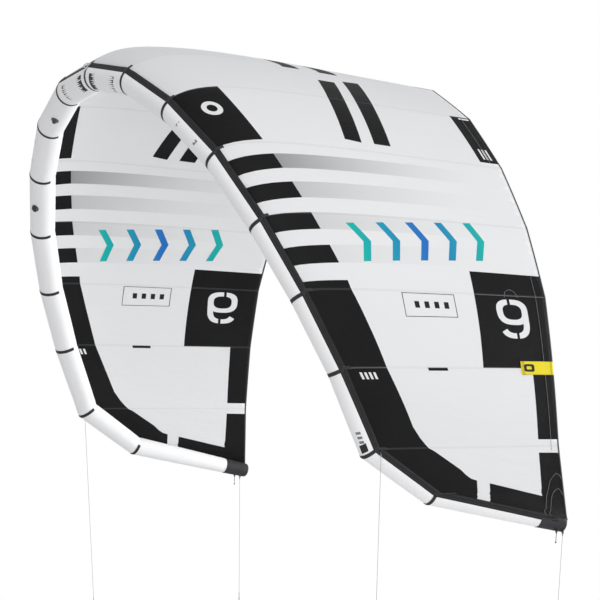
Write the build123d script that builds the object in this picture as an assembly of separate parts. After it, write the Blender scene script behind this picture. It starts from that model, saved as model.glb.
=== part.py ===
from build123d import *
import math
import os

# Inflatable C-shaped kite with no struts, size 9.  Millimetres, +Z up.
# +X is one wing tip, -X the other, -Y the leading edge, +Y the trailing edge.
# The origin is the eye of the webbing loop on the centre seam of the leading edge.

# ---------------------------------------------------------------- driving dimensions
HALF_SPAN_X = 1650.0        # widest point of the leading-edge centre line from the middle
FRONT_TO_BACK = 1677.9      # leading-edge centre line to trailing edge at the middle
CASING_WALL = 1.0           # woven casing of the leading edge
BLADDER_GAP = 0.6           # between casing and bladder
BLADDER_WALL = 0.8
CANOPY_T = 1.5              # canopy cloth, drawn thick so that it is a solid
TAPE_W = 14.0               # seam tape round the tube
TAPE_T = 0.9
JUNCTION_DEG = 17.0         # angle of the tube that the canopy hem tape covers
HEM_T = 1.1
TE_TAPE_W = 8.0             # binding of the trailing edge
TE_TAPE_T = 2.2
LOOP_ANGLE = 38.0           # centre loop, angle above straight ahead on the tube
LOOP_W = 16.0
LINE_R = 1.0                # flying line
SLEEVE_R = 1.9
LINE_END_Z = -2790.0        # all four lines are drawn to this height
PIGTAIL_R = 1.5
PIGTAIL_L = 46.0

# Centre line of the right half of the leading edge: the middle, eight seams, the start of the tip sleeve, the tip.
LE0 = [(0.0, 35.0, 4.0), (398.7, 52.5, -45.3), (769.4, 101.8, -197.8), (1083.8, 187.2, -429.0), (1328.9, 292.5, -720.3),
       (1497.8, 418.9, -1031.0), (1600.0, 558.6, -1351.7), (1626.5, 707.1, -1696.9), (1641.7, 1007.3, -1894.8),
       (1650.0, 1567.8, -2009.0), (1652.1, 1708.4, -2037.6)]
RAD = [70.1, 70.0, 69.3, 68.0, 65.7, 63.0, 60.2, 55.3, 50.3, 40.4, 36.3]
# Trailing edge at the same stations.
TE0 = [(0.0, 1677.9, 74.0), (410.0, 1677.9, 17.1), (770.6, 1677.9, -144.9), (1081.0, 1677.9, -396.2), (1321.5, 1677.9, -684.7),
       (1493.4, 1677.9, -1005.1), (1577.4, 1677.9, -1329.9), (1630.2, 1686.2, -1682.0), (1657.7, 1702.9, -1884.8),
       (1672.8, 1712.0, -1996.3), (1677.0, 1716.0, -2020.0)]
# Angle on the tube, from straight ahead over the outside, of the front edge of the canopy hem.
HEM_DEG = [50, 49, 50, 54, 60, 64, 68, 88, 93, 101, 121]
# Shape of the canopy profile: handle lengths as shares of the chord, and the slope at the trailing edge.
NOSE_HANDLE, TAIL_HANDLE, TAIL_SLOPE = (0.1689, 0.030), (0.699, 0.85), (0.1236, 0.0778)
PROFILE_POINTS = 15

V = Vector
LAST = 10
CAP_AT = 9

LOOP_FOOT = RAD[0] * 1.0075 + TAPE_T + 0.2   # the middle seam is an ellipse, longest where the loop stands
loop_h = LOOP_FOOT + 8.0
SHIFT = V(0, loop_h * math.cos(math.radians(LOOP_ANGLE)), -loop_h * math.sin(math.radians(LOOP_ANGLE))) - V(*LE0[0])
LE = [V(*p) + SHIFT for p in LE0]
TE = [V(*p) + SHIFT for p in TE0]


def unit(v):
    return v * (1.0 / v.length)


def mirrored(v):
    return V(-v.X, v.Y, v.Z)


def lerp(a, b, w):
    return a + (b - a) * w


def ring_normal(i):
    """Normal of the mitre plane at station i, towards the tip."""
    if i == LAST:
        return unit(LE[i] - LE[i - 1])
    before = mirrored(LE[1]) if i == 0 else LE[i - 1]
    return unit(unit(LE[i] - before) + unit(LE[i + 1] - LE[i]))


def ring_frame(i):
    """(normal, rearward, outward) at station i: the last two lie in the mitre plane."""
    n = ring_normal(i)
    if i >= 8:
        out = V(0.998, -0.007, 0.058)
        out = unit(out - n * out.dot(n))
        back = unit(n.cross(out))
        if back.Z < 0:
            back = back * -1
        return n, back, out
    chord = TE[i] - LE[i]
    back = unit(chord - n * chord.dot(n))
    out = n.cross(back)
    want = V(0, 0, 1) if i == 0 else V(LE[i].X, 0, LE[i].Z - LE[0].Z + 400)
    if out.dot(want) < 0:
        out = out * -1
    return n, back, unit(out)


RING = [ring_frame(i) for i in range(LAST + 1)]


def on_ring(i, deg, lift=0.0):
    n, back, out = RING[i]
    a = math.radians(deg)
    return LE[i] + (back * -math.cos(a) + out * math.sin(a)) * (RAD[i] + lift)


# ---------------------------------------------------------------- canopy profile at a station
def rib_axes(i):
    n, back, out = RING[i]
    if i >= CAP_AT:
        start = on_ring(i, HEM_DEG[i], 3.5)
        e1 = unit(TE[i] - start)
        e2 = unit(out - e1 * out.dot(e1))
        return e1, e2, 1.0
    e1 = unit(TE[i] - LE[i])
    e2 = unit(out - e1 * out.dot(e1))
    k = min(1.0 / abs(n.dot(e1.cross(e2))), 1.6)
    return e1, e2, k


def rib(i, past_hem, count=PROFILE_POINTS):
    """Points of the outer face of the canopy at station i, from past_hem degrees behind the hem's front edge to the binding."""
    e1, e2, k = rib_axes(i)
    if i >= CAP_AT:
        start = on_ring(i, HEM_DEG[i] + (8 if past_hem else 0), 3.5)
        end = TE[i] - e1 * (TE_TAPE_W + 0.1) * (1.0 if i == CAP_AT else 0.1)
        e1 = unit(end - start)
        return [lerp(start, end, q / (count - 1)) for q in range(count)], e1, e2
    w = min(i, 7) / 7.0
    a, b, g = (lo + (hi - lo) * w for lo, hi in (NOSE_HANDLE, TAIL_HANDLE, TAIL_SLOPE))
    th, r = math.radians(HEM_DEG[i]), RAD[i] + 0.4
    c = (TE[i] - LE[i]).length
    j = (-r * k * math.cos(th), r * math.sin(th))
    t = (k * math.sin(th), math.cos(th))
    tl = math.hypot(*t)
    p1 = (j[0] + a * c * t[0] / tl, j[1] + a * c * t[1] / tl)
    p2 = (c - b * c * math.cos(g), b * c * math.sin(g))
    p3 = (c, 0.0)

    def at(q):
        u = 1 - q
        return tuple(u**3 * j[m] + 3 * u * u * q * p1[m] + 3 * u * q * q * p2[m] + q**3 * p3[m] for m in (0, 1))

    first = 0.0
    limit = math.radians(HEM_DEG[i] + past_hem)
    while past_hem and math.atan2(at(first)[1], -at(first)[0] / k) < limit:
        first += 0.002
    last = 1.0
    while (c - at(last)[0]) < TE_TAPE_W + 0.1:
        last -= 0.001
    pts = []
    for m in range(count):
        s = m / (count - 1)
        s = s * s * 0.6 + s * 0.4
        x, y = at(first + (last - first) * s)
        pts.append(LE[i] + e1 * x + e2 * y)
    return pts, e1, e2


def section(i, past_hem=JUNCTION_DEG + 3):
    pts, e1, e2 = rib(i, past_hem)
    low = [p - e2 * CANOPY_T for p in pts]
    return Face(Wire.make_polygon(pts + low[::-1], close=True))


# ---------------------------------------------------------------- leading edge tube
def frustum(i, extra, start=None, end=None):
    """Solid cone frustum of tube segment i, extra millimetres outside the casing's outer face, cut on its mitre planes."""
    a, b = LE[i], LE[i + 1]
    length = (b - a).length
    u = unit(b - a)
    s = (RAD[i] - RAD[i + 1]) / length
    c = math.sqrt(1 - s * s)
    ra, rb = (RAD[i] + extra) / c, (RAD[i + 1] + extra) / c
    grow = 60.0
    slope = (rb - ra) / length
    cone = Solid.make_cone(ra - slope * grow, rb + slope * grow, length + 2 * grow, Plane(origin=a - u * grow, z_dir=u))
    n0 = ring_normal(i) if start is None else start[1]
    p0 = a if start is None else start[0]
    n1 = ring_normal(i + 1) if end is None else end[1]
    p1 = b if end is None else end[0]
    cone = split(cone, bisect_by=Plane(origin=p0, z_dir=n0), keep=Keep.TOP)
    cone = split(cone, bisect_by=Plane(origin=p1, z_dir=n1), keep=Keep.BOTTOM)
    return cone


def cyl(p, axis, r, lo, hi):
    return Solid.make_cylinder(r, hi - lo, Plane(origin=p + axis * lo, z_dir=axis))


def one(shape):
    """The single solid of a boolean's result."""
    found = shape.solids()
    assert len(found) == 1, len(found)
    return found[0]


def wedge(i, from_deg, to_deg, reach=150.0, half=60.0):
    """Sector of the mitre plane at station i, thickened both ways: the angles run from straight ahead over the outside."""
    n, back, out = RING[i]
    steps = max(2, int(abs(to_deg - from_deg) / 25) + 1)
    pts = [LE[i]]
    for k in range(steps + 1):
        a = math.radians(from_deg + (to_deg - from_deg) * k / steps)
        pts.append(LE[i] + (back * -math.cos(a) + out * math.sin(a)) * reach)
    face = Face(Wire.make_polygon([p - n * half for p in pts], close=True))
    return extrude(face, amount=2 * half, dir=n)


def flip(shape):
    return mirror(shape, about=Plane.YZ)


nodes = {}

# Valves sit on the left half: (segment, share along it, angle on the tube).
VALVES = {"inflate": (1, 0.50, -60.0), "dump": (3, 0.475, -40.0)}


def valve_frame(seg, share, deg):
    """Foot on the casing's outer face, outward axis, tube axis and the third direction, on the left half."""
    p = lerp(LE[seg], LE[seg + 1], share)
    u = unit(LE[seg + 1] - LE[seg])
    r = RAD[seg] + (RAD[seg + 1] - RAD[seg]) * share
    back = V(0, 1, 0)
    back = unit(back - u * back.dot(u))
    out = unit(u.cross(back))
    if out.Z < 0:
        out = out * -1
    a = math.radians(deg)
    w = back * -math.cos(a) + out * math.sin(a)
    foot = p + w * r
    side = w.cross(u)
    return mirrored(foot), mirrored(w), mirrored(u), unit(mirrored(w).cross(mirrored(u))), r


NECK_R = {"inflate": 8.0, "dump": 13.0}
BORE_R = {"inflate": 6.0, "dump": 10.5}
NECK_UP = {"inflate": 13.0, "dump": 9.0}
NECK_DOWN = 7.0

casing = []
for i in range(CAP_AT):
    shell = frustum(i, 0.0) - frustum(i, -CASING_WALL)
    casing.append(one(shell))
for i in range(CAP_AT):
    nodes[f"casing_r{i + 1}"] = casing[i]
    left = flip(casing[i])
    for name, (seg, share, deg) in VALVES.items():
        if seg == i:
            foot, w, u, s, r = valve_frame(seg, share, deg)
            left = left - cyl(foot, w, NECK_R[name] + 0.15, -14, 14)
    nodes[f"casing_l{i + 1}"] = one(left)

# Tip sleeves: a cup over the end of the tube, with a rounded rim.
cap_end = (LE[LAST], ring_normal(LAST))
cap = frustum(CAP_AT, 0.0, end=cap_end)
rim = [e for e in cap.edges() if e.geom_type == GeomType.CIRCLE and (e.arc_center - LE[LAST]).length < 3]
cap = cap.fillet(7.0, rim)
inner_end = (LE[LAST] - ring_normal(LAST) * 3.0, ring_normal(LAST))
cap = cap - frustum(CAP_AT, -1.6, end=inner_end)
cap = one(cap)
nodes["tip_sleeve_r"] = cap
nodes["tip_sleeve_l"] = flip(cap)

# Bladder: one air-tight tube from tip to tip inside the casing, its cloth cut in one ring for each casing segment.
bladder_end = (LE[LAST] - ring_normal(LAST) * 12.0, ring_normal(LAST))
bladder_inner_end = (LE[LAST] - ring_normal(LAST) * (12.0 + BLADDER_WALL), ring_normal(LAST))
out_r = -CASING_WALL - BLADDER_GAP
in_r = out_r - BLADDER_WALL
outer = [frustum(i, out_r) for i in range(CAP_AT)] + [frustum(CAP_AT, out_r, end=bladder_end)]
inner = [frustum(i, in_r) for i in range(CAP_AT)] + [frustum(CAP_AT, in_r, end=bladder_inner_end)]
rings = [one(o - n) for o, n in zip(outer, inner)]
left_rings = [flip(p) for p in rings]
for name, (seg, share, deg) in VALVES.items():
    foot, w, u, s, r = valve_frame(seg, share, deg)
    left_rings[seg] = one(left_rings[seg] - cyl(foot, w, NECK_R[name] + 0.15, -14, 14))
nodes["bladder"] = Compound(rings + left_rings)

# Seam tapes: a band over each seam, open behind where the canopy is sewn.
TAPE_FROM = [-118, -116, -112, -112, -112, -112, -112, -108, -100]


def seam_band(i, w_half):
    n = ring_normal(i)
    parts = []
    for seg, sign in ((i - 1, -1), (i, 1)):
        plane = (LE[i] + n * (w_half * sign), n)
        if seg < 0:
            continue
        if sign < 0:
            band = frustum(seg, TAPE_T, start=plane) - frustum(seg, 0.05, start=plane)
        else:
            band = frustum(seg, TAPE_T, end=plane) - frustum(seg, 0.05, end=plane)
        parts.append(band)
    if i == 0:
        parts.append(flip(parts[0]))
    cut = wedge(i, HEM_DEG[i] - 0.6, 360 + TAPE_FROM[i])
    return [one(p - cut) for p in parts]


bands = [half for i in range(1, CAP_AT) for half in seam_band(i, TAPE_W / 2)]
nodes["seam_tape_centre"] = Compound(seam_band(0, TAPE_W / 2))
nodes["seam_tapes_r"] = Compound(bands)
nodes["seam_tapes_l"] = Compound([flip(b) for b in bands])


# Hem tape: the strip that sews the canopy to the tube, all along the leading edge.
def hem_section(p, back, out, deg, r):
    pts = []
    for lift, angles in ((0.3, (0, 0.25, 0.5, 0.75, 1.0)), (HEM_T, (1.0, 0.75, 0.5, 0.25, 0))):
        for a in angles:
            t = math.radians(deg + JUNCTION_DEG * a)
            pts.append(p + (back * -math.cos(t) + out * math.sin(t)) * (r + lift))
    return Face(Wire.make_polygon(pts, close=True))


hem_solids = []
STEPS = 4
for i in range(LAST):
    (n0, b0, o0), (n1, b1, o1) = RING[i], RING[i + 1]
    u = unit(LE[i + 1] - LE[i])
    cuts = []
    for k in range(STEPS + 1):
        s = k / STEPS
        if k == 0 or k == STEPS:
            j = i + (k == STEPS)
            n, b, o = RING[j]
            p, r, deg = LE[j], RAD[j], HEM_DEG[j]
            pts = []
            for lift, angles in ((0.3, (0, 0.25, 0.5, 0.75, 1.0)), (HEM_T, (1.0, 0.75, 0.5, 0.25, 0))):
                for a in angles:
                    t = math.radians(deg + JUNCTION_DEG * a)
                    d = b * -math.cos(t) + o * math.sin(t)
                    d = unit(d - u * d.dot(u))
                    q = p + d * (r + lift)
                    # slide along the tube onto the mitre plane
                    q = q - u * ((q - p).dot(n) / u.dot(n))
                    pts.append(q)
            cuts.append(Face(Wire.make_polygon(pts, close=True)))
        else:
            b = unit(lerp(b0, b1, s))
            b = unit(b - u * b.dot(u))
            o = unit(lerp(o0, o1, s))
            o = unit(o - u * o.dot(u))
            o = unit(o - b * o.dot(b))
            deg = HEM_DEG[i] + (HEM_DEG[i + 1] - HEM_DEG[i]) * s
            cuts.append(hem_section(lerp(LE[i], LE[i + 1], s), b, o, deg, RAD[i] + (RAD[i + 1] - RAD[i]) * s))
    hem_solids.append(loft(cuts, ruled=True).solids()[0])
hem = hem_solids[0].fuse(*hem_solids[1:])
nodes["canopy_hem_tape"] = one(hem + flip(hem))

# Canopy: one panel between each pair of seams, and a tip panel.
sections = [section(i) for i in range(LAST + 1)]
CLEAR = HEM_T + 0.4


def clear_of_tube(panel, segments):
    for seg in segments:
        panel = panel - frustum(seg, CLEAR)
    return max(panel.solids(), key=lambda x: x.volume)


for i in range(7):
    panel = loft([sections[i], sections[i + 1]], ruled=True).solids()[0]
    if i == 6:
        panel = clear_of_tube(panel, (6,))
    nodes[f"canopy_panel_r{i + 1}"] = panel
    nodes[f"canopy_panel_l{i + 1}"] = flip(panel)
tip_parts = [loft([sections[i], sections[i + 1]], ruled=True).solids()[0] for i in range(7, LAST)]
tip_panel = clear_of_tube(one(tip_parts[0].fuse(*tip_parts[1:])), (6, 7, 8, 9))
nodes["canopy_tip_r"] = tip_panel
nodes["canopy_tip_l"] = flip(tip_panel)


# Trailing-edge binding.
def te_section(i):
    pts, e1, e2 = rib(i, JUNCTION_DEG + 3)
    end = TE[i]
    start = pts[-1] + unit(end - pts[-1]) * 0.1
    up, down = e2 * 0.35, e2 * -(TE_TAPE_T - 0.35)
    return Face(Wire.make_polygon([start + up, end + up, end + down, start + down], close=True))


te_secs = [te_section(i) for i in range(CAP_AT + 1)]
te_parts = [loft([te_secs[i], te_secs[i + 1]], ruled=True).solids()[0] for i in range(CAP_AT)]
te_half = te_parts[0].fuse(*te_parts[1:])
nodes["trailing_edge_binding"] = one(te_half + flip(te_half))


# Pull tabs sewn over the trailing edge at seam 6.
def tag_section(share):
    a, _, e2a = rib(6, 20, 41)
    b, _, e2b = rib(5 if share < 0 else 7, 20, 41)
    w = abs(share)
    rear = [lerp(p, q, w) for p, q in zip(a, b)]
    e2 = unit(lerp(e2a, e2b, w))
    keep = [p for p in rear if p.Y > TE[6].Y - 186.0]
    return Face(Wire.make_polygon([p + e2 * 0.15 for p in keep] + [p + e2 * 0.9 for p in keep[::-1]], close=True)), len(keep)


tag_a, _ = tag_section(-0.088)
tag_b, _ = tag_section(0.0)
tag_c, _ = tag_section(0.086)
tag = one(loft([tag_a, tag_b], ruled=True) + loft([tag_b, tag_c], ruled=True))
nodes["pull_tabs"] = Compound([tag, flip(tag)])

# ---------------------------------------------------------------- centre loop
a = math.radians(LOOP_ANGLE)
radial, tang = V(0, -math.cos(a), math.sin(a)), V(0, math.sin(a), math.cos(a))
foot = LE[0] + radial * LOOP_FOOT
pl = Plane(origin=foot - V(LOOP_W / 2, 0, 0), x_dir=tang, z_dir=V(1, 0, 0))
if pl.y_dir.dot(radial) < 0:
    pl = Plane(origin=foot + V(LOOP_W / 2, 0, 0), x_dir=tang, z_dir=V(-1, 0, 0))
pad = Pos(0, 0.75) * Rectangle(44, 1.5)
arch = Pos(0, 8.0) * Ellipse(14.5, 9.8)
arch = arch - (Pos(0, 8.0) * Ellipse(12.6, 7.9))
arch = arch - (Pos(0, -10) * Rectangle(60, 20))
profile = pad + arch
loop = extrude(pl * profile, amount=LOOP_W)
nodes["centre_loop"] = one(loop)


# ---------------------------------------------------------------- line tabs
def lug(foot, out, hole_axis, height):
    """A webbing tab: a pad on the tube and an upright ear with an eyelet; its hole's axis is hole_axis."""
    side = unit(hole_axis.cross(out))
    pl = Plane(origin=foot - hole_axis * 1.5, x_dir=side, z_dir=hole_axis)
    sgn = 1 if pl.y_dir.dot(out) > 0 else -1
    ear = (Pos(0, sgn * height / 2) * Rectangle(14, height)) + (Pos(0, sgn * height) * Circle(7))
    ear = ear - (Pos(0, sgn * height) * Circle(3.5))
    body = extrude(pl * ear, amount=3.0)
    base = Plane(origin=foot, x_dir=side, z_dir=out) * Box(14, 18, 1.6, align=(Align.CENTER, Align.CENTER, Align.MIN))
    return one(body + base), foot + out * height


def tube_point(i, w, direction, lift):
    """Foot of the outward normal on the tube between stations i and i+1, in the given direction."""
    p = lerp(LE[i], LE[i + 1], w)
    u = unit(LE[i + 1] - LE[i])
    d = unit(direction - u * direction.dot(u))
    r = RAD[i] + (RAD[i + 1] - RAD[i]) * w
    return p + d * (r + lift), d


tabs, eyes = [], {}
f_foot, f_out = tube_point(7, 0.055, V(1.0, -0.12, 0.02), 1.5)
f_axis = unit(V(0, 1, 0) - f_out * f_out.Y)
r_foot, r_out = tube_point(9, 0.90, V(0.62, 0, -0.78), 0.8)
r_axis = unit(V(0, 1, 0) - r_out * r_out.Y)
s_foot, s_out = tube_point(9, 0.66, V(0.62, 0, -0.78), 0.8)
s_axis = unit(V(0, 1, 0) - s_out * s_out.Y)
for key, foot, out, axis, h in (("front", f_foot, f_out, f_axis, 14.0), ("rear", r_foot, r_out, r_axis, 13.0),
                                ("short", s_foot, s_out, s_axis, 13.0)):
    solid, eye = lug(foot, out, axis, h)
    tabs += [solid, flip(solid)]
    eyes[key] = (eye, axis)
nodes["line_tabs"] = Compound(tabs)

# ---------------------------------------------------------------- flying lines
FRONT_DIR = unit(V(-0.088, 0.047, -0.995))
REAR_DIR = unit(V(-0.062, -0.003, -0.998))


def rod(a, b, r):
    """Round rod from a to b with a ball at each end."""
    u = unit(b - a)
    body = cyl(a, u, r, 0, (b - a).length)
    return body + Solid.make_sphere(r, Plane(origin=a)) + Solid.make_sphere(r, Plane(origin=b))


def end_loop(p, d):
    """Spliced end loop below p: a sleeve in line with the line, then an eye 56 mm long."""
    x = unit(V(1, 0, 0) - d * d.X)
    half, length, r = 9.0, 56.0, 1.3
    top = p + d * 24.0
    shape = cyl(p, d, SLEEVE_R, 0.05, 26)
    centre = p + d * (26.0 + length - half)
    corners = [top]
    for side in (-1, 1):
        shoulder = p + d * 42.0 + x * (side * half)
        shape = shape + rod(top, shoulder, r) + rod(shoulder, centre + x * (side * half), r)
    bend = [centre + x * (half * math.cos(t)) + d * (half * math.sin(t)) for t in (math.pi * k / 6 for k in range(7))]
    for q0, q1 in zip(bend, bend[1:]):
        shape = shape + rod(q0, q1, r)
    return one(shape)


lines = {}
for key, d in (("front", FRONT_DIR), ("rear", REAR_DIR)):
    eye, axis = eyes[key]
    start = eye + d * 8.0
    length = (start.Z - LINE_END_Z) / -d.Z
    end = start + d * length
    line = cyl(start, d, LINE_R, 0, length)
    tail = end_loop(end, d)
    nodes[f"{key}_line_r"], nodes[f"{key}_line_l"] = line, flip(line)
    nodes[f"{key}_line_loop_r"], nodes[f"{key}_line_loop_l"] = tail, flip(tail)
    lines[key] = (start, end, length)
eye, axis = eyes["short"]
start = eye + REAR_DIR * 8.0
pigtail = cyl(start, REAR_DIR, PIGTAIL_R, 0, PIGTAIL_L)
knot = Solid.make_sphere(3.4, Plane(origin=start + REAR_DIR * (PIGTAIL_L - 2.0)))
pigtail = one(pigtail + knot)
nodes["short_pigtail_r"], nodes["short_pigtail_l"] = pigtail, flip(pigtail)
lines["short"] = (start, start + REAR_DIR * PIGTAIL_L, PIGTAIL_L)


# ---------------------------------------------------------------- valves
def valve(name):
    seg, share, deg = VALVES[name]
    foot, w, u, s, r = valve_frame(seg, share, deg)
    neck, bore, up = NECK_R[name], BORE_R[name], NECK_UP[name]
    flange_r = 20.0
    # flange that fits the round of the tube, then the neck through casing and bladder
    flange = cyl(foot, w, flange_r, -8, 3.0)
    axis_p = foot - w * r
    tube = flip(frustum(seg, 0.1))
    flange = flange - tube
    flange = [x for x in flange.solids() if x.center().sub(foot).dot(w) > -6][0]
    body = flange + cyl(foot, w, neck, -NECK_DOWN, up)
    # hinge ears beside the neck, towards u
    hx = neck + 4.6
    hz = up + 0.6
    ears = None
    for side in (-1, 1):
        q = foot + u * hx + s * (side * 4.2)
        pl = Plane(origin=q - s * 1.2, x_dir=u, z_dir=s)
        sgn = 1 if pl.y_dir.dot(w) > 0 else -1
        ear = (Pos(0, sgn * (hz + 1.0) / 2) * Rectangle(4.4, hz - 1.0)) + (Pos(0, sgn * hz) * Circle(2.2))
        solid = extrude(pl * ear, amount=2.4)
        ears = solid if ears is None else ears + solid
    pin = cyl(foot + u * hx + w * hz - s * 4.2, s, 0.95, 0, 8.4)
    body = body + ears + pin
    body = body - cyl(foot, w, bore, -NECK_DOWN - 1, up + 1)
    body = one(body)
    # cap: a lid with a shallow rim, a knuckle round the pin, and a thumb tab opposite
    lid_r = neck + 2.0
    lid = cyl(foot, w, lid_r, up + 0.3, up + 3.0) + (cyl(foot, w, lid_r, up - 1.4, up + 0.3) - cyl(foot, w, neck + 0.7, up - 1.5, up + 0.4))
    knuckle = cyl(foot + u * hx + w * hz - s * 2.7, s, 2.2, 0, 5.4)
    arm_pl = Plane(origin=foot + u * (neck + 1.6) + w * (up + 0.9), x_dir=u, z_dir=w)
    arm = arm_pl * Box(hx - neck - 1.6, 5.4, 1.9, align=(Align.MIN, Align.CENTER, Align.MIN))
    thumb = Plane(origin=foot - u * (lid_r - 1.0) + w * (up + 1.2), x_dir=u, z_dir=w) * Box(5.5, 7.0, 1.6, align=(Align.MAX, Align.CENTER, Align.MIN))
    lid = lid + knuckle + arm + thumb
    lid = lid - cyl(foot + u * hx + w * hz - s * 6, s, 1.0, 0, 12)
    lid = one(lid)
    return body, lid, (foot, w, u, s, hx, hz, up)


for name in VALVES:
    body, lid, data = valve(name)
    nodes[f"{name}_valve"] = body
    nodes[f"{name}_valve_cap"] = lid
    VALVES[name] = VALVES[name] + (data,)

# Check flap inside the inflation valve: it closes the neck's inner end.
foot, w, u, s, hx, hz, up = VALVES["inflate"][3]
flap = cyl(foot, w, NECK_R["inflate"] - 0.8, -NECK_DOWN - 1.3, -NECK_DOWN - 0.15)
stem_pl = Plane(origin=foot - u * (NECK_R["inflate"] - 2.0) - w * (NECK_DOWN + 1.3), x_dir=u, z_dir=w)
flap = one(flap + stem_pl * Box(2.6, 6.0, 1.15, align=(Align.MAX, Align.CENTER, Align.MIN)))
nodes["inflate_check_flap"] = flap

# ---------------------------------------------------------------- write the parts
os.makedirs("parts", exist_ok=True)
for old in os.listdir("parts"):
    if old.endswith(".step"):
        os.remove(os.path.join("parts", old))
for name, shape in nodes.items():
    shape.label = name
    export_step(shape, f"parts/{name}.step")
print(len(nodes), "nodes")
fmt = lambda v: [round(c / 1000.0, 5) for c in (v.X, v.Y, v.Z)]
for key, (s0, s1, length) in lines.items():
    print("line", key, "start", fmt(s0), "end", fmt(s1), "length", round(length, 1), "eye", fmt(eyes[key][0]), "axis", [round(c, 5) for c in eyes[key][1]])
for name, v in VALVES.items():
    foot, w, u, s, hx, hz, up = v[3]
    print("valve", name, "foot", fmt(foot), "w", [round(c, 5) for c in w], "u", [round(c, 5) for c in u], "s", [round(c, 5) for c in s],
          "hinge", fmt(foot + u * hx + w * hz), "mouth", fmt(foot + w * up))
print("LE", [fmt(p) for p in LE])
print("TE", [fmt(p) for p in TE])
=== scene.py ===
import math

import bpy
import numpy as np
from mathutils import Matrix, Vector
from mathutils.geometry import delaunay_2d_cdt


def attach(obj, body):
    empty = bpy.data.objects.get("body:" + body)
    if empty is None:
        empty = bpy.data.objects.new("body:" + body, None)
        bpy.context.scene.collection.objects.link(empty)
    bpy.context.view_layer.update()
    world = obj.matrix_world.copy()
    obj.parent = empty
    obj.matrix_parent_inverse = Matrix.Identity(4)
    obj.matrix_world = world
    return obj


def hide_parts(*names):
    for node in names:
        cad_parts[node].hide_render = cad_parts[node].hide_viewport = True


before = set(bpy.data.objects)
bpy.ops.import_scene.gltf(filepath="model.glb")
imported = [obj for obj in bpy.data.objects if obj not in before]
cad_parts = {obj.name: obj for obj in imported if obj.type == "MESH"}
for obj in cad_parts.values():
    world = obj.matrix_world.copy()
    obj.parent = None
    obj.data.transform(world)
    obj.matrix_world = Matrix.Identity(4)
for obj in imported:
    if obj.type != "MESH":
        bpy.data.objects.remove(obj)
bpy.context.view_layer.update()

# ------------------------------------------------------------------ geometry shared with the CAD, in metres
MM = 0.001
LE0 = [(0.0, 35.0, 4.0), (398.7, 52.5, -45.3), (769.4, 101.8, -197.8), (1083.8, 187.2, -429.0), (1328.9, 292.5, -720.3),
       (1497.8, 418.9, -1031.0), (1600.0, 558.6, -1351.7), (1626.5, 707.1, -1696.9), (1641.7, 1007.3, -1894.8),
       (1650.0, 1567.8, -2009.0), (1652.1, 1708.4, -2037.6)]
RAD = np.array([70.1, 70.0, 69.3, 68.0, 65.7, 63.0, 60.2, 55.3, 50.3, 40.4, 36.3]) * MM
TE0 = [(0.0, 1677.9, 74.0), (410.0, 1677.9, 17.1), (770.6, 1677.9, -144.9), (1081.0, 1677.9, -396.2), (1321.5, 1677.9, -684.7),
       (1493.4, 1677.9, -1005.1), (1577.4, 1677.9, -1329.9), (1630.2, 1686.2, -1682.0), (1657.7, 1702.9, -1884.8),
       (1672.8, 1712.0, -1996.3), (1677.0, 1716.0, -2020.0)]
HEM_DEG = [50, 49, 50, 54, 60, 64, 68, 88, 93, 101, 121]
LOOP_ANGLE = math.radians(38.0)
LOOP_FOOT = (70.1 * 1.0075 + 1.1) * MM
LOOP_H = LOOP_FOOT + 8.0 * MM
SHIFT = np.array([0, LOOP_H * math.cos(LOOP_ANGLE), -LOOP_H * math.sin(LOOP_ANGLE)]) - np.array(LE0[0]) * MM
LE = np.array(LE0) * MM + SHIFT
TE = np.array(TE0) * MM + SHIFT
LAST, CAP_AT = 10, 9


def unit(v):
    v = np.asarray(v, float)
    return v / np.linalg.norm(v, axis=-1, keepdims=True)


def ring_normal(i):
    if i == LAST:
        return unit(LE[i] - LE[i - 1])
    before = LE[1] * [-1, 1, 1] if i == 0 else LE[i - 1]
    return unit(unit(LE[i] - before) + unit(LE[i + 1] - LE[i]))


def ring_frame(i):
    n = ring_normal(i)
    if i >= 8:
        out = np.array([0.998, -0.007, 0.058])
        out = unit(out - n * out.dot(n))
        back = unit(np.cross(n, out))
        if back[2] < 0:
            back = -back
        return n, back, out
    chord = TE[i] - LE[i]
    back = unit(chord - n * chord.dot(n))
    out = unit(np.cross(n, back))
    want = np.array([0, 0, 1.0]) if i == 0 else np.array([LE[i][0], 0, LE[i][2] - LE[0][2] + 0.4])
    if out.dot(want) < 0:
        out = -out
    return n, back, out


RING = [ring_frame(i) for i in range(LAST + 1)]


def on_ring(i, deg, lift=0.0):
    n, back, out = RING[i]
    a = math.radians(deg)
    return LE[i] + (back * -math.cos(a) + out * math.sin(a)) * (RAD[i] + lift)


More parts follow.
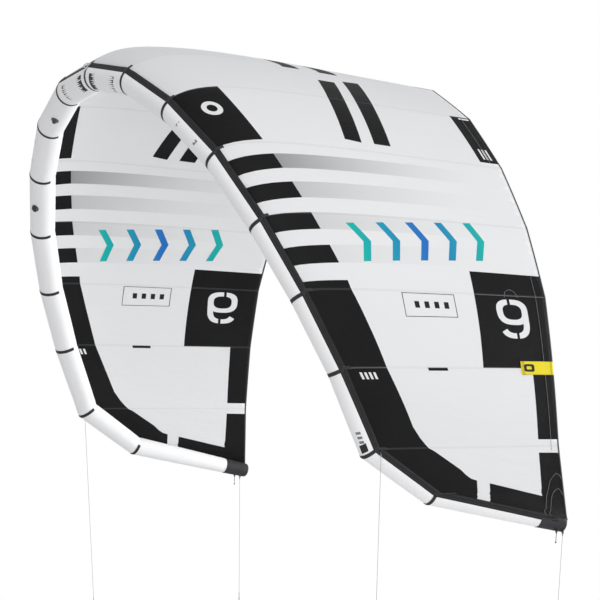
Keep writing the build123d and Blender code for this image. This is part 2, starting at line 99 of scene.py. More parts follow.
def rib_curve(i, count=400):
    """Canopy profile at station i from the hem's front edge to the trailing edge: points and outward directions."""
    n, back, out = RING[i]
    if i >= CAP_AT:
        start = on_ring(i, HEM_DEG[i], 0.0012)
        q = np.linspace(0, 1, count)[:, None]
        pts = start * (1 - q) + TE[i] * q
        e1 = unit(TE[i] - start)
        e2 = unit(out - e1 * out.dot(e1))
        return pts, np.repeat(e2[None], count, 0)
    e1 = unit(TE[i] - LE[i])
    e2 = unit(out - e1 * out.dot(e1))
    k = min(1.0 / abs(n.dot(np.cross(e1, e2))), 1.6)
    w = min(i, 7) / 7.0
    a = 0.1689 + (0.030 - 0.1689) * w
    b = 0.699 + (0.85 - 0.699) * w
    g = 0.1236 + (0.0778 - 0.1236) * w
    th, r = math.radians(HEM_DEG[i]), RAD[i] + 0.0012
    c = np.linalg.norm(TE[i] - LE[i])
    j = np.array([-r * k * math.cos(th), r * math.sin(th)])
    t = unit(np.array([k * math.sin(th), math.cos(th)]))
    p1 = j + a * c * t
    p2 = np.array([c - b * c * math.cos(g), b * c * math.sin(g)])
    p3 = np.array([c, 0.0])
    q = np.linspace(0, 1, count)[:, None]
    u = 1 - q
    xy = u**3 * j + 3 * u * u * q * p1 + 3 * u * q * q * p2 + q**3 * p3
    d = np.gradient(xy, axis=0)
    nn = unit(np.stack([-d[:, 1], d[:, 0]], 1))
    nn[nn[:, 1] < 0] *= -1
    # even spacing along the arc
    s = np.concatenate([[0], np.cumsum(np.linalg.norm(np.diff(xy, axis=0), axis=1))])
    f = np.linspace(0, s[-1], count)
    xy = np.stack([np.interp(f, s, xy[:, 0]), np.interp(f, s, xy[:, 1])], 1)
    nn = unit(np.stack([np.interp(f, s, nn[:, 0]), np.interp(f, s, nn[:, 1])], 1))
    return LE[i] + xy[:, :1] * e1 + xy[:, 1:] * e2, nn[:, :1] * e1 + nn[:, 1:] * e2


RIB = [rib_curve(i) for i in range(LAST + 1)]
RIB_P = np.array([r[0] for r in RIB])
RIB_N = np.array([r[1] for r in RIB])
CHORD = np.linalg.norm(np.diff(RIB_P, axis=1), axis=2).sum(1)
RIB_COUNT = RIB_P.shape[1]


def base_surface(s, t):
    """Points and outward normals of the right half's canopy at station values s (0..10) and shares t of the profile (0..1)."""
    s = np.clip(np.asarray(s, float), 0, LAST - 1e-9)
    t = np.clip(np.asarray(t, float), 0, 1)
    i = s.astype(int)
    w = (s - i)[:, None]
    f = t * (RIB_COUNT - 1)
    j = np.minimum(f.astype(int), RIB_COUNT - 2)
    v = (f - j)[:, None]
    p = (RIB_P[i, j] * (1 - v) + RIB_P[i, j + 1] * v) * (1 - w) + (RIB_P[i + 1, j] * (1 - v) + RIB_P[i + 1, j + 1] * v) * w
    n = (RIB_N[i, j] * (1 - v) + RIB_N[i, j + 1] * v) * (1 - w) + (RIB_N[i + 1, j] * (1 - v) + RIB_N[i + 1, j + 1] * v) * w
    return p, unit(n)

ALL_SIDES = (1, -1)


def side_of(p, side):
    return np.asarray(p) * np.array([side, 1, 1])


# ------------------------------------------------------------------ camera
AZ, ROLL, FOCAL = math.radians(62.718), math.radians(1.7055), 2498.457
look = np.array([-math.sin(AZ), math.cos(AZ), 0.0])
flat_right = np.array([math.cos(AZ), math.sin(AZ), 0.0])
up = np.array([0.0, 0.0, 1.0])
right = math.cos(ROLL) * flat_right + math.sin(ROLL) * up
top = -math.sin(ROLL) * flat_right + math.cos(ROLL) * up
cam_data = bpy.data.cameras.new("camera")
cam_data.sensor_fit = "HORIZONTAL"
cam_data.sensor_width = 36.0
cam_data.lens = 36.0 * FOCAL / 600.0
cam_data.clip_start, cam_data.clip_end = 0.1, 200.0
camera = bpy.data.objects.new("camera", cam_data)
CAM = np.array([11.2321, -4.6193, -1.0504]) + SHIFT
m = np.identity(4)
m[:3, 0], m[:3, 1], m[:3, 2], m[:3, 3] = right, top, -look, CAM
camera.matrix_world = Matrix(m.tolist())
bpy.context.scene.collection.objects.link(camera)
bpy.context.scene.camera = camera


# ------------------------------------------------------------------ node helpers
class Mat:
    def __init__(self, name):
        self.m = bpy.data.materials.new(name)
        self.m.use_nodes = True
        self.t = self.m.node_tree
        self.t.nodes.clear()
        self.out = self.t.nodes.new("ShaderNodeOutputMaterial")

    def node(self, kind, **values):
        n = self.t.nodes.new(kind)
        for k, v in values.items():
            if k.startswith("in_"):
                n.inputs[k[3:].replace("_", " ")].default_value = v
            else:
                setattr(n, k, v)
        return n

    def link(self, a, b):
        self.t.links.new(a, b)

    def math(self, op, a, b=None, c=None):
        n = self.t.nodes.new("ShaderNodeMath")
        n.operation = op
        for i, x in enumerate((a, b, c)):
            if x is None:
                continue
            if isinstance(x, (int, float)):
                n.inputs[i].default_value = x
            else:
                self.link(x, n.inputs[i])
        return n.outputs[0]

    def uv(self, name="uv"):
        n = self.node("ShaderNodeUVMap")
        n.uv_map = name
        s = self.node("ShaderNodeSeparateXYZ")
        self.link(n.outputs[0], s.inputs[0])
        return n.outputs[0], s.outputs[0], s.outputs[1]

    def noise(self, scale, detail=3.0, vector=None, rough=0.55):
        n = self.node("ShaderNodeTexNoise")
        n.inputs["Scale"].default_value = scale
        n.inputs["Detail"].default_value = detail
        n.inputs["Roughness"].default_value = rough
        if vector is None:
            c = self.node("ShaderNodeTexCoord")
            vector = c.outputs["Object"]
        self.link(vector, n.inputs["Vector"])
        return n.outputs["Fac"]

    def mix(self, fac, a, b):
        n = self.node("ShaderNodeMix")
        n.data_type = "RGBA"
        ins = {i.identifier: i for i in n.inputs}
        for key, x in (("Factor_Float", fac), ("A_Color", a), ("B_Color", b)):
            if isinstance(x, (int, float)):
                ins[key].default_value = x
            elif isinstance(x, (tuple, list)):
                ins[key].default_value = (*x[:3], 1.0)
            else:
                self.link(x, ins[key])
        return [o for o in n.outputs if o.identifier == "Result_Color"][0]

    def bump(self, height, strength, distance, normal=None):
        n = self.node("ShaderNodeBump")
        n.inputs["Strength"].default_value = strength
        n.inputs["Distance"].default_value = distance
        self.link(height, n.inputs["Height"])
        if normal is not None:
            self.link(normal, n.inputs["Normal"])
        return n.outputs[0]

    def surface(self, color, rough, normal=None, spec=0.4, sheen=0.0, thin=0.0, coat=0.0):
        p = self.node("ShaderNodeBsdfPrincipled")
        if isinstance(color, (tuple, list)):
            p.inputs["Base Color"].default_value = (*color[:3], 1.0)
        else:
            self.link(color, p.inputs["Base Color"])
        if isinstance(rough, (int, float)):
            p.inputs["Roughness"].default_value = rough
        else:
            self.link(rough, p.inputs["Roughness"])
        p.inputs["Specular IOR Level"].default_value = spec
        p.inputs["Sheen Weight"].default_value = sheen
        p.inputs["Coat Weight"].default_value = coat
        if normal is not None:
            self.link(normal, p.inputs["Normal"])
        if thin:
            tr = self.node("ShaderNodeBsdfTranslucent")
            if isinstance(color, (tuple, list)):
                tr.inputs["Color"].default_value = (*color[:3], 1.0)
            else:
                self.link(color, tr.inputs["Color"])
            mx = self.node("ShaderNodeMixShader")
            mx.inputs[0].default_value = thin
            self.link(p.outputs[0], mx.inputs[1])
            self.link(tr.outputs[0], mx.inputs[2])
            self.link(mx.outputs[0], self.out.inputs[0])
        else:
            self.link(p.outputs[0], self.out.inputs[0])
        return self.m


def lines(mt, value, period, share):
    """1 in a narrow part of each period of value, else 0."""
    f = mt.math("FRACT", mt.math("DIVIDE", value, period))
    return mt.math("LESS_THAN", f, share)


def near(mt, value, at, half):
    return mt.math("LESS_THAN", mt.math("ABSOLUTE", mt.math("SUBTRACT", value, at)), half)


def canopy_material():
    mt = Mat("ripstop_canopy")
    uv, u, v = mt.uv()
    attr = mt.node("ShaderNodeAttribute")
    attr.attribute_name = "print"
    st = mt.node("ShaderNodeAttribute")
    st.attribute_name = "st"
    sep = mt.node("ShaderNodeSeparateXYZ")
    mt.link(st.outputs["Vector"], sep.inputs[0])
    s = sep.outputs[0]
    grid = mt.math("MAXIMUM", lines(mt, u, 0.0052, 0.14), lines(mt, v, 0.0052, 0.14))
    fr = mt.math("FRACT", mt.math("ADD", s, 0.5))
    seam_d = mt.math("ABSOLUTE", mt.math("SUBTRACT", fr, 0.5))
    below7 = mt.math("LESS_THAN", s, 7.3)
    seam = mt.math("MULTIPLY", mt.math("LESS_THAN", seam_d, 0.013), below7)
    stitch = mt.math("MULTIPLY", mt.math("MULTIPLY", near(mt, seam_d, 0.0095, 0.0022), lines(mt, v, 0.0062, 0.62)), below7)
    mottled = mt.noise(3.0, 3.0)
    c1 = mt.mix(mt.math("MULTIPLY", grid, 0.018), attr.outputs["Color"], (0.5, 0.5, 0.52))
    c2 = mt.mix(mt.math("MULTIPLY", seam, 0.06), c1, (0.36, 0.37, 0.39))
    c3 = mt.mix(mt.math("MULTIPLY", stitch, 0.22), c2, (0.26, 0.26, 0.28))
    c4 = mt.mix(mt.math("MULTIPLY", mottled, 0.012), c3, (0.62, 0.64, 0.68))
    mp = mt.node("ShaderNodeMapping")
    mp.inputs["Scale"].default_value = (9.0, 1.6, 1.0)
    mt.link(uv, mp.inputs[0])
    crinkle = mt.noise(1.6, 5.0, mp.outputs[0], 0.6)
    n1 = mt.bump(crinkle, 0.35, 0.010)
    n2 = mt.bump(mt.noise(26.0, 3.0, uv), 0.18, 0.0015, n1)
    n3 = mt.bump(mt.math("ADD", grid, mt.math("MULTIPLY", seam, 1.5)), 0.25, 0.0006, n2)
    rough = mt.math("ADD", 0.40, mt.math("MULTIPLY", mottled, 0.12))
    return mt.surface(c4, rough, n3, spec=0.10, sheen=0.0, thin=0.22)


def cloth_material(name, color, weave=0.0022, spec=0.14, wrinkle=0.25, dirt=0.06, thin=0.0):
    mt = Mat(name)
    uv, u, v = mt.uv()
    warp = mt.math("SINE", mt.math("MULTIPLY", u, 2 * math.pi / weave))
    weft = mt.math("SINE", mt.math("MULTIPLY", v, 2 * math.pi / weave))
    cloth = mt.math("MULTIPLY", warp, weft)
    patches = mt.noise(6.0, 4.0)
    c = mt.mix(mt.math("MULTIPLY", patches, dirt), color, (0.55, 0.56, 0.58))
    c = mt.mix(mt.math("MULTIPLY", mt.math("ABSOLUTE", cloth), 0.04), c, (0.4, 0.4, 0.42))
    n1 = mt.bump(mt.noise(14.0, 4.0), wrinkle, 0.004)
    n2 = mt.bump(cloth, 0.3, 0.0003, n1)
    return mt.surface(c, mt.math("ADD", 0.5, mt.math("MULTIPLY", patches, 0.15)), n2, spec=spec, sheen=0.0, thin=thin)


def tape_material(name, color, thread, rows=(0.16, 0.84), weave=0.0018):
    """Woven tape: u runs along it in metres, v across it from 0 to 1."""
    mt = Mat(name)
    uv, u, v = mt.uv()
    rib = mt.math("SINE", mt.math("MULTIPLY", u, 2 * math.pi / weave))
    st = None
    for k, r in enumerate(rows):
        one = mt.math("MULTIPLY", near(mt, v, r, 0.035), lines(mt, mt.math("ADD", u, 0.0017 * k), 0.0058, 0.66))
        st = one if st is None else mt.math("MAXIMUM", st, one)
    patches = mt.noise(30.0, 3.0)
    c = mt.mix(mt.math("MULTIPLY", patches, 0.12), color, tuple(0.55 * x + 0.12 for x in color))
    c = mt.mix(mt.math("MULTIPLY", mt.math("ABSOLUTE", rib), 0.07), c, (0.2, 0.2, 0.2))
    c = mt.mix(st, c, thread)
    h = mt.math("ADD", mt.math("MULTIPLY", rib, 0.3), mt.math("MULTIPLY", st, 2.0))
    return mt.surface(c, 0.6, mt.bump(h, 0.5, 0.0004), spec=0.14, sheen=0.0)


def plastic_material(name, color, rough=0.42):
    mt = Mat(name)
    fine = mt.noise(900.0, 3.0)
    big = mt.noise(45.0, 3.0)
    c = mt.mix(mt.math("MULTIPLY", big, 0.25), color, tuple(min(1.0, x * 1.5 + 0.02) for x in color))
    r = mt.math("ADD", rough - 0.06, mt.math("MULTIPLY", big, 0.16))
    return mt.surface(c, r, mt.bump(fine, 0.15, 0.0003), spec=0.5)


def rope_material(name, color, light, pitch=0.0022):
    mt = Mat(name)
    c = mt.node("ShaderNodeTexCoord")
    sep = mt.node("ShaderNodeSeparateXYZ")
    mt.link(c.outputs["Object"], sep.inputs[0])
    z = sep.outputs[2]
    x = mt.math("ADD", sep.outputs[0], sep.outputs[1])
    a = mt.math("SINE", mt.math("MULTIPLY", mt.math("ADD", z, x), 2 * math.pi / pitch))
    b = mt.math("SINE", mt.math("MULTIPLY", mt.math("SUBTRACT", z, x), 2 * math.pi / pitch))
    braid = mt.math("MULTIPLY", a, b)
    fleck = mt.noise(700.0, 2.0)
    col = mt.mix(mt.math("MULTIPLY", mt.math("ABSOLUTE", braid), 0.6), color, light)
    col = mt.mix(mt.math("MULTIPLY", fleck, 0.25), col, color)
    return mt.surface(col, 0.62, mt.bump(braid, 0.5, 0.0004), spec=0.3, sheen=0.15)


CANOPY = canopy_material()
CASING = cloth_material("casing_cloth", (0.93, 0.932, 0.935), wrinkle=0.22, dirt=0.02)
SLEEVE = cloth_material("tip_sleeve_cloth", (0.022, 0.022, 0.024), weave=0.003, wrinkle=0.35, dirt=0.05)
PRINT_BLACK = cloth_material("tube_print_black", (0.02, 0.02, 0.022), wrinkle=0.2, dirt=0.03)
PRINT_GREY = cloth_material("tube_print_grey", (0.20, 0.21, 0.22), wrinkle=0.2, dirt=0.03)
TAPE_BLACK = tape_material("seam_tape_black", (0.022, 0.022, 0.024), (0.10, 0.10, 0.11))
TAPE_HEM = tape_material("hem_tape_black", (0.005, 0.005, 0.0055), (0.045, 0.045, 0.05), rows=(0.2, 0.5, 0.8))
TAPE_EDGE = tape_material("edge_tape_dark", (0.05, 0.05, 0.055), (0.20, 0.20, 0.21), rows=(0.3,))
TAG_YELLOW = tape_material("tab_yellow", (0.84, 0.70, 0.015), (0.45, 0.36, 0.02), rows=(0.07, 0.93))
WEBBING = tape_material("webbing_black", (0.02, 0.02, 0.022), (0.12, 0.12, 0.13), rows=(0.25, 0.75), weave=0.0026)
WEB_WHITE = tape_material("webbing_white", (0.74, 0.74, 0.75), (0.4, 0.4, 0.42), rows=(0.25, 0.75), weave=0.0026)
VALVE_GREY = plastic_material("valve_grey", (0.10, 0.105, 0.11))
VALVE_BLACK = plastic_material("valve_black", (0.018, 0.018, 0.020))
LINE = rope_material("flying_line_grey", (0.30, 0.30, 0.31), (0.52, 0.52, 0.54))
PIGTAIL = rope_material("pigtail_black", (0.018, 0.018, 0.02), (0.09, 0.09, 0.10))
THREAD = rope_material("thread_grey", (0.20, 0.20, 0.21), (0.34, 0.34, 0.36), 0.0012)


# ------------------------------------------------------------------ mesh helpers
def make(name, verts, faces, mats, uv=None, smooth=True, body="kite", slot=None, replaces=()):
    me = bpy.data.meshes.new(name)
    me.from_pydata([tuple(map(float, v)) for v in verts], [], [tuple(map(int, f)) for f in faces])
    if uv is not None:
        layer = me.uv_layers.new(name="uv")
        idx = np.empty(len(me.loops), dtype=np.int64)
        me.loops.foreach_get("vertex_index", idx)
        layer.data.foreach_set("uv", np.asarray(uv, float)[idx].astype(np.float32).ravel())
    for mtl in mats if isinstance(mats, (list, tuple)) else [mats]:
        me.materials.append(mtl)
    me.polygons.foreach_set("use_smooth", [smooth] * len(me.polygons))
    me.validate()
    me.update()
    ob = bpy.data.objects.new(name, me)
    bpy.context.scene.collection.objects.link(ob)
    if body:
        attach(ob, body)
    if replaces:
        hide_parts(*replaces)
    return ob


class Pile:
    """Gathers several lofted shells into one mesh."""

    def __init__(self):
        self.v, self.f, self.uv, self.n = [], [], [], 0

    def add(self, verts, faces, uv):
        verts = np.asarray(verts, float).reshape(-1, 3)
        self.v.append(verts)
        self.uv.append(np.asarray(uv, float).reshape(-1, 2))
        self.f += [[q + self.n for q in f] for f in faces]
        self.n += len(verts)

    def loft(self, loops, uv_u=None, caps=True, flip=False):
        """loops: rows x section x 3, each section a closed ring of points; u runs along the rows in metres, v round the ring."""
        loops = np.asarray(loops, float)
        rows, sec = loops.shape[:2]
        if uv_u is None:
            mid = loops.mean(1)
            uv_u = np.concatenate([[0], np.cumsum(np.linalg.norm(np.diff(mid, axis=0), axis=1))])
        girth = np.linalg.norm(np.diff(np.concatenate([loops, loops[:, :1]], 1), axis=1), axis=2).mean(0)
        vv = np.concatenate([[0], np.cumsum(girth)[:-1]]) / max(girth.sum() / 2, 1e-9)
        vv = np.where(vv > 1, 2 - vv, vv)
        uv = np.stack(np.broadcast_arrays(np.asarray(uv_u)[:, None], vv[None]), -1)
        faces = []
        for a in range(rows - 1):
            for b in range(sec):
                c = (b + 1) % sec
                q = [a * sec + b, a * sec + c, (a + 1) * sec + c, (a + 1) * sec + b]
                faces.append(q[::-1] if flip else q)
        if caps:
            first, last = list(range(sec)), [(rows - 1) * sec + b for b in range(sec)]
            faces.append(first if flip else first[::-1])
            faces.append(last[::-1] if flip else last)
        self.add(loops, faces, uv)

    def build(self, name, mats, **kw):
        return make(name, np.concatenate(self.v), self.f, mats, uv=np.concatenate(self.uv), **kw)


def tube_loops(path, r, sides=10, closed=False):
    path = np.asarray(path, float)
    t = np.gradient(path, axis=0) if not closed else np.roll(path, -1, 0) - np.roll(path, 1, 0)
    t = unit(t)
    ref = np.array([0.13, 0.31, 0.94])
    a = unit(np.cross(t[0], ref))
    out = []
    r = np.broadcast_to(r, (len(path),))
    for k in range(len(path)):
        a = unit(a - t[k] * a.dot(t[k]))
        b = np.cross(t[k], a)
        ang = np.linspace(0, 2 * math.pi, sides, endpoint=False)
        out.append(path[k] + r[k] * (np.cos(ang)[:, None] * a + np.sin(ang)[:, None] * b))
    return np.array(out)


# ------------------------------------------------------------------ flying lines and pigtails
LINE_END_Z = -2.790
FRONT_DIR = unit([-0.088, 0.047, -0.995])
REAR_DIR = unit([-0.062, -0.003, -0.998])


def tube_foot(i, w, direction, lift):
    p = LE[i] * (1 - w) + LE[i + 1] * w
    u = unit(LE[i + 1] - LE[i])
    d = np.asarray(direction, float)
    d = unit(d - u * d.dot(u))
    r = RAD[i] + (RAD[i + 1] - RAD[i]) * w
    return p + d * (r + lift), d, u


def eye_of(i, w, direction, lift, height):
    foot, out, along = tube_foot(i, w, direction, lift)
    axis = unit(np.array([0, 1.0, 0]) - out * out[1])
    return foot, out, along, axis, foot + out * height


EYES = {"front": eye_of(7, 0.055, (1.0, -0.12, 0.02), 0.0015, 0.014),
        "rear": eye_of(9, 0.90, (0.62, 0, -0.78), 0.0008, 0.013),
        "short": eye_of(9, 0.66, (0.62, 0, -0.78), 0.0008, 0.013)}


def straight_cord(name, a, b, r, mtl):
    cu = bpy.data.curves.new(name, "CURVE")
    cu.dimensions = "3D"
    sp = cu.splines.new("NURBS")
    n = 9
    sp.points.add(n - 1)
    for k in range(n):
        p = a + (b - a) * k / (n - 1)
        sp.points[k].co = (*p, 1.0)
    sp.order_u = 3
    sp.use_endpoint_u = True
    cu.bevel_depth = r
    cu.bevel_resolution = 4
    cu.use_fill_caps = True
    cu.materials.append(mtl)
    ob = bpy.data.objects.new(name, cu)
    bpy.context.scene.collection.objects.link(ob)
    return ob


def coil_knot(pile, p, d, r, turns=3.5, pitch=0.0021, tube=0.0011):
    """A short wrapped knot round the axis d, starting at p."""
    a = unit(np.cross(d, [0.2, 0.9, 0.1]))
    b = np.cross(d, a)
    n = int(turns * 14)
    th = np.linspace(0, turns * 2 * math.pi, n)
    path = p + d * (th / (2 * math.pi) * pitch)[:, None] + r * (np.cos(th)[:, None] * a + np.sin(th)[:, None] * b)
    pile.loft(tube_loops(path, tube, 8))


def spliced_loop(pile, p, d, r=0.0013):
    x = unit(np.array([1.0, 0, 0]) - d * d[0])
    half, length = 0.009, 0.056
    q0 = p + d * 0.024
    c = p + d * (0.026 + length - half)
    side = p + d * 0.042
    ctrl = [q0 - x * 0.0006, q0 + d * 0.006 - x * 0.003, side - x * half, side + d * 0.012 - x * half, c - x * half]
    ctrl += [c + x * (half * math.cos(t)) + d * (half * math.sin(t)) for t in np.linspace(math.pi, 0, 13)[1:-1]]
    ctrl += [c + x * half, side + d * 0.012 + x * half, side + x * half, q0 + d * 0.006 + x * 0.003, q0 + x * 0.0006]
    ctrl = np.array(ctrl)
    s = np.concatenate([[0], np.cumsum(np.linalg.norm(np.diff(ctrl, axis=0), axis=1))])
    f = np.linspace(0, s[-1], 70)
    path = np.stack([np.interp(f, s, ctrl[:, k]) for k in range(3)], 1)
    for _ in range(3):
        path[1:-1] = 0.25 * path[:-2] + 0.5 * path[1:-1] + 0.25 * path[2:]
    pile.loft(tube_loops(path, r, 10))
    z = np.linspace(0, 1, 22)
    prof = 0.0019 * np.minimum(1, 0.55 + 3 * np.minimum(z, 1 - z))
    pile.loft(tube_loops(p + d * (z * 0.030 - 0.002)[:, None], prof, 12))


SIDE_NAME = {1: "right", -1: "left"}
TAG = {1: "r", -1: "l"}
cord_list = []
for key, d0 in (("front", FRONT_DIR), ("rear", REAR_DIR)):
    foot, out, along, axis, eye = EYES[key]
    start = eye + d0 * 0.008
    length = (start[2] - LINE_END_Z) / -d0[2]
    for side in ALL_SIDES:
        a, d = side_of(start, side), side_of(d0, side)
        b = a + d * length
        body = f"{key}_line_{SIDE_NAME[side]}"
        line = straight_cord(f"{key}_line_{TAG[side]}_visual", a, b + d * 0.026, 0.0010, LINE)
        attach(line, body)
        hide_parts(f"{key}_line_{TAG[side]}")
        pile = Pile()
        spliced_loop(pile, b, d)
        loop = pile.build(f"{key}_line_loop_{TAG[side]}_visual", LINE, body=body, slot="dark_line", replaces=(f"{key}_line_loop_{TAG[side]}",))
        # hitch: a loop through the tab's eyelet and a wrapped knot on the line
        e, ax = side_of(eye, side), side_of(axis, side)
        hitch = Pile()
        ring = np.array([e + d * 0.0095 + ax * 0.0006, e + d * 0.0075 + ax * 0.0028, e + d * 0.003 + ax * 0.0032, e - d * 0.0006 + ax * 0.0022,
                         e - d * 0.0010, e - d * 0.0006 - ax * 0.0022, e + d * 0.003 - ax * 0.0032, e + d * 0.0075 - ax * 0.0028, e + d * 0.0095 - ax * 0.0006])
        s = np.concatenate([[0], np.cumsum(np.linalg.norm(np.diff(ring, axis=0), axis=1))])
        f = np.linspace(0, s[-1], 40)
        path = np.stack([np.interp(f, s, ring[:, k]) for k in range(3)], 1)
        for _ in range(2):
            path[1:-1] = 0.25 * path[:-2] + 0.5 * path[1:-1] + 0.25 * path[2:]
        hitch.loft(tube_loops(path, 0.0011, 8))
        coil_knot(hitch, e + d * 0.0095, d, 0.0018)
        knot = hitch.build(f"{key}_knot_{TAG[side]}", LINE, body=body, slot="dark_line")
        cord_list.append(line)
foot, out, along, axis, eye = EYES["short"]
for side in ALL_SIDES:
    d = side_of(REAR_DIR, side)
    a = side_of(eye + REAR_DIR * 0.008, side)
    b = a + d * 0.046
    body = f"pigtail_{SIDE_NAME[side]}"
    cordo = straight_cord(f"short_pigtail_{TAG[side]}_visual", a, b, 0.0015, PIGTAIL)
    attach(cordo, body)
    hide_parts(f"short_pigtail_{TAG[side]}")
    pile = Pile()
    coil_knot(pile, b - d * 0.006, d, 0.0021, turns=2.6, tube=0.0014)
    e, ax = side_of(eye, side), side_of(axis, side)
    ring = np.array([e + d * 0.0095 + ax * 0.0006, e + d * 0.0075 + ax * 0.003, e + d * 0.003 + ax * 0.0034, e - d * 0.0006 + ax * 0.0022, e - d * 0.001,
                     e - d * 0.0006 - ax * 0.0022, e + d * 0.003 - ax * 0.0034, e + d * 0.0075 - ax * 0.003, e + d * 0.0095 - ax * 0.0006])
    s = np.concatenate([[0], np.cumsum(np.linalg.norm(np.diff(ring, axis=0), axis=1))])
    f = np.linspace(0, s[-1], 40)
    path = np.stack([np.interp(f, s, ring[:, k]) for k in range(3)], 1)
    pile.loft(tube_loops(path, 0.0013, 8))
    kn = pile.build(f"pigtail_knot_{TAG[side]}", PIGTAIL, body=body, slot="black_cord")


# ------------------------------------------------------------------ leading edge tube
def ring_point(seg, j, ang):
    """Points of the mitre ring at station j (seg or seg + 1) on the cone of segment seg, for angles ang in radians."""
    n, back, out = RING[j]
    u = unit(LE[seg + 1] - LE[seg])
    d = back * -np.cos(ang)[..., None] + out * np.sin(ang)[..., None]
    d = unit(d - u * (d @ u)[..., None])
    q = LE[j] + d * RAD[j]
    return q - u * (((q - LE[j]) @ n) / u.dot(n))[..., None]


def tube_pt(seg, w, ang, lift=0.0):
    """Points of the tube's skin; w and ang are arrays of one shape, right half."""
    w, ang = np.broadcast_arrays(np.asarray(w, float), np.asarray(ang, float))
    lift = np.broadcast_to(lift, w.shape)
    a, b = LE[seg], LE[seg + 1]
    u, L = unit(b - a), np.linalg.norm(b - a)
    p = ring_point(seg, seg, ang) * (1 - w)[..., None] + ring_point(seg, seg + 1, ang) * w[..., None]
    x = (p - a) @ u
    foot = a + x[..., None] * u
    r = RAD[seg] + (RAD[seg + 1] - RAD[seg]) * x / L
    return foot + unit(p - foot) * (r + lift)[..., None]


seg_len = [float(np.linalg.norm(LE[k + 1] - LE[k])) for k in range(LAST)]
AROUND = 112
ang = np.linspace(0, 2 * math.pi, AROUND, endpoint=False)
pile = Pile()
rng = np.random.RandomState(4)
for side in ALL_SIDES:
    run = 0.0
    for seg in range(CAP_AT):
        L = seg_len[seg]
        rows = np.unique(np.concatenate([[0, 0.004, 0.008, 0.013, 0.02, 0.03, 0.042, 0.06, 0.085], np.linspace(0.11, L - 0.11, max(2, int(L / 0.045))) if L > 0.25 else [L / 2],
                                         L - np.array([0, 0.004, 0.008, 0.013, 0.02, 0.03, 0.042, 0.06, 0.085])]))
        A, W = np.meshgrid(ang, rows / L)
        dist = np.minimum(W, 1 - W) * L
        ph = rng.rand(4) * 6.28
        pucker = (np.sin(23 * A + ph[0]) + 0.6 * np.sin(37 * A + ph[1]) + 0.4 * np.sin(11 * A + ph[2])) * 0.00034 * np.exp(-dist / 0.040) * (1 - np.exp(-dist / 0.006))
        lift = -0.0009 * np.exp(-(dist / 0.010) ** 2) + pucker + 0.0006 * np.sin(math.pi * W) + 0.0001
        P = side_of(tube_pt(seg, W, A, lift), side)
        n = len(rows)
        faces = []
        for r_ in range(n - 1):
            for b in range(AROUND):
                c = (b + 1) % AROUND
                q = [r_ * AROUND + b, r_ * AROUND + c, (r_ + 1) * AROUND + c, (r_ + 1) * AROUND + b]
                faces.append(q if side > 0 else q[::-1])
        uvs = np.stack([W * L + run, A * 0.068], -1)
        pile.add(P, faces, uvs)
        run += L
casing = pile.build("leading_edge_casing", CASING, slot="casing_cloth",
                    replaces=[f"casing_{s}{i}" for s in "rl" for i in range(1, 10)] + ["bladder"])

# round openings in the skin under the two valve necks
for foot, out, rad in (((-0.564484, 0.069418, -0.233679), (0.273031, -0.496262, -0.824123), 0.00815), ((-1.175389, 0.214163, -0.659740), (0.360371, -0.738321, -0.570101), 0.01315)):
    out = Vector(out).normalized()
    bpy.ops.mesh.primitive_cylinder_add(vertices=40, radius=rad, depth=0.05, location=Vector(foot) - out * 0.015, rotation=out.to_track_quat("Z", "Y").to_euler())
    cutter = bpy.context.active_object
    cut = casing.modifiers.new("port", "BOOLEAN")
    cut.operation, cut.solver, cut.object = "DIFFERENCE", "EXACT", cutter
    bpy.context.view_layer.update()
    skin = bpy.data.meshes.new_from_object(casing.evaluated_get(bpy.context.evaluated_depsgraph_get()))
    casing.modifiers.remove(cut)
    casing.data = skin
    bpy.data.objects.remove(cutter, do_unlink=True)
    casing.data.set_sharp_from_angle(angle=0.8)

# tip sleeves over the ends of the tube
for side in ALL_SIDES:
    L = seg_len[9]
    u = unit(LE[10] - LE[9])
    A = ang
    loops = []
    for w, lift in ((0.02, 0.0000), (0.005, 0.0004), (0.0, 0.0012), (0.01, 0.0018), (0.06, 0.0018), (0.12, 0.0014), (0.3, 0.0016), (0.5, 0.0012), (0.7, 0.0016), (0.85, 0.0014)):
        fold = 0.0005 * np.sin(9 * A + w * 5) * w
        loops.append(tube_pt(9, np.full_like(A, w), A, lift + fold))
    base = tube_pt(9, np.full_like(A, 1.0), A, 0.0014)
    c = LE[10]
    rad = base - c
    rad = rad - (rad @ u)[:, None] * u
    R = np.linalg.norm(rad, axis=1, keepdims=True)
    f = 0.009
    for ph in np.linspace(0.1, math.pi / 2, 6):
        rr = R - f * (1 - math.cos(ph)) + 0.0005 * np.sin(14 * A + 1.0)[:, None] * math.sin(ph)
        loops.append(c - u * f * (1 - math.sin(ph)) + rad / R * rr)
    for sh in (0.62, 0.6, 0.58, 0.3, 0.06):
        dip = 0.0007 if 0.57 < sh < 0.61 else 0.0
        loops.append(c - u * dip + rad * sh)
    pile = Pile()
    pile.loft([side_of(l, side) for l in loops], flip=side < 0)
    pile.build(f"tip_sleeve_{TAG[side]}_visual", SLEEVE, slot="tip_sleeve_cloth", replaces=[f"tip_sleeve_{TAG[side]}"])

# seam tapes
TAPE_FROM = [-118, -116, -112, -112, -112, -112, -112, -108, -100]
HALF_TAPE = 0.0085


def seam_row(i, x, a, lift):
    """Tube point x metres past seam i (negative: before it), at angle a."""
    if x < 0 and i == 0:
        return tube_pt(0, -x / seg_len[0], a, lift) * np.array([-1, 1, 1])
    if x < 0:
        return tube_pt(i - 1, 1 + x / seg_len[i - 1], a, lift)
    return tube_pt(i, x / seg_len[i], a, lift)


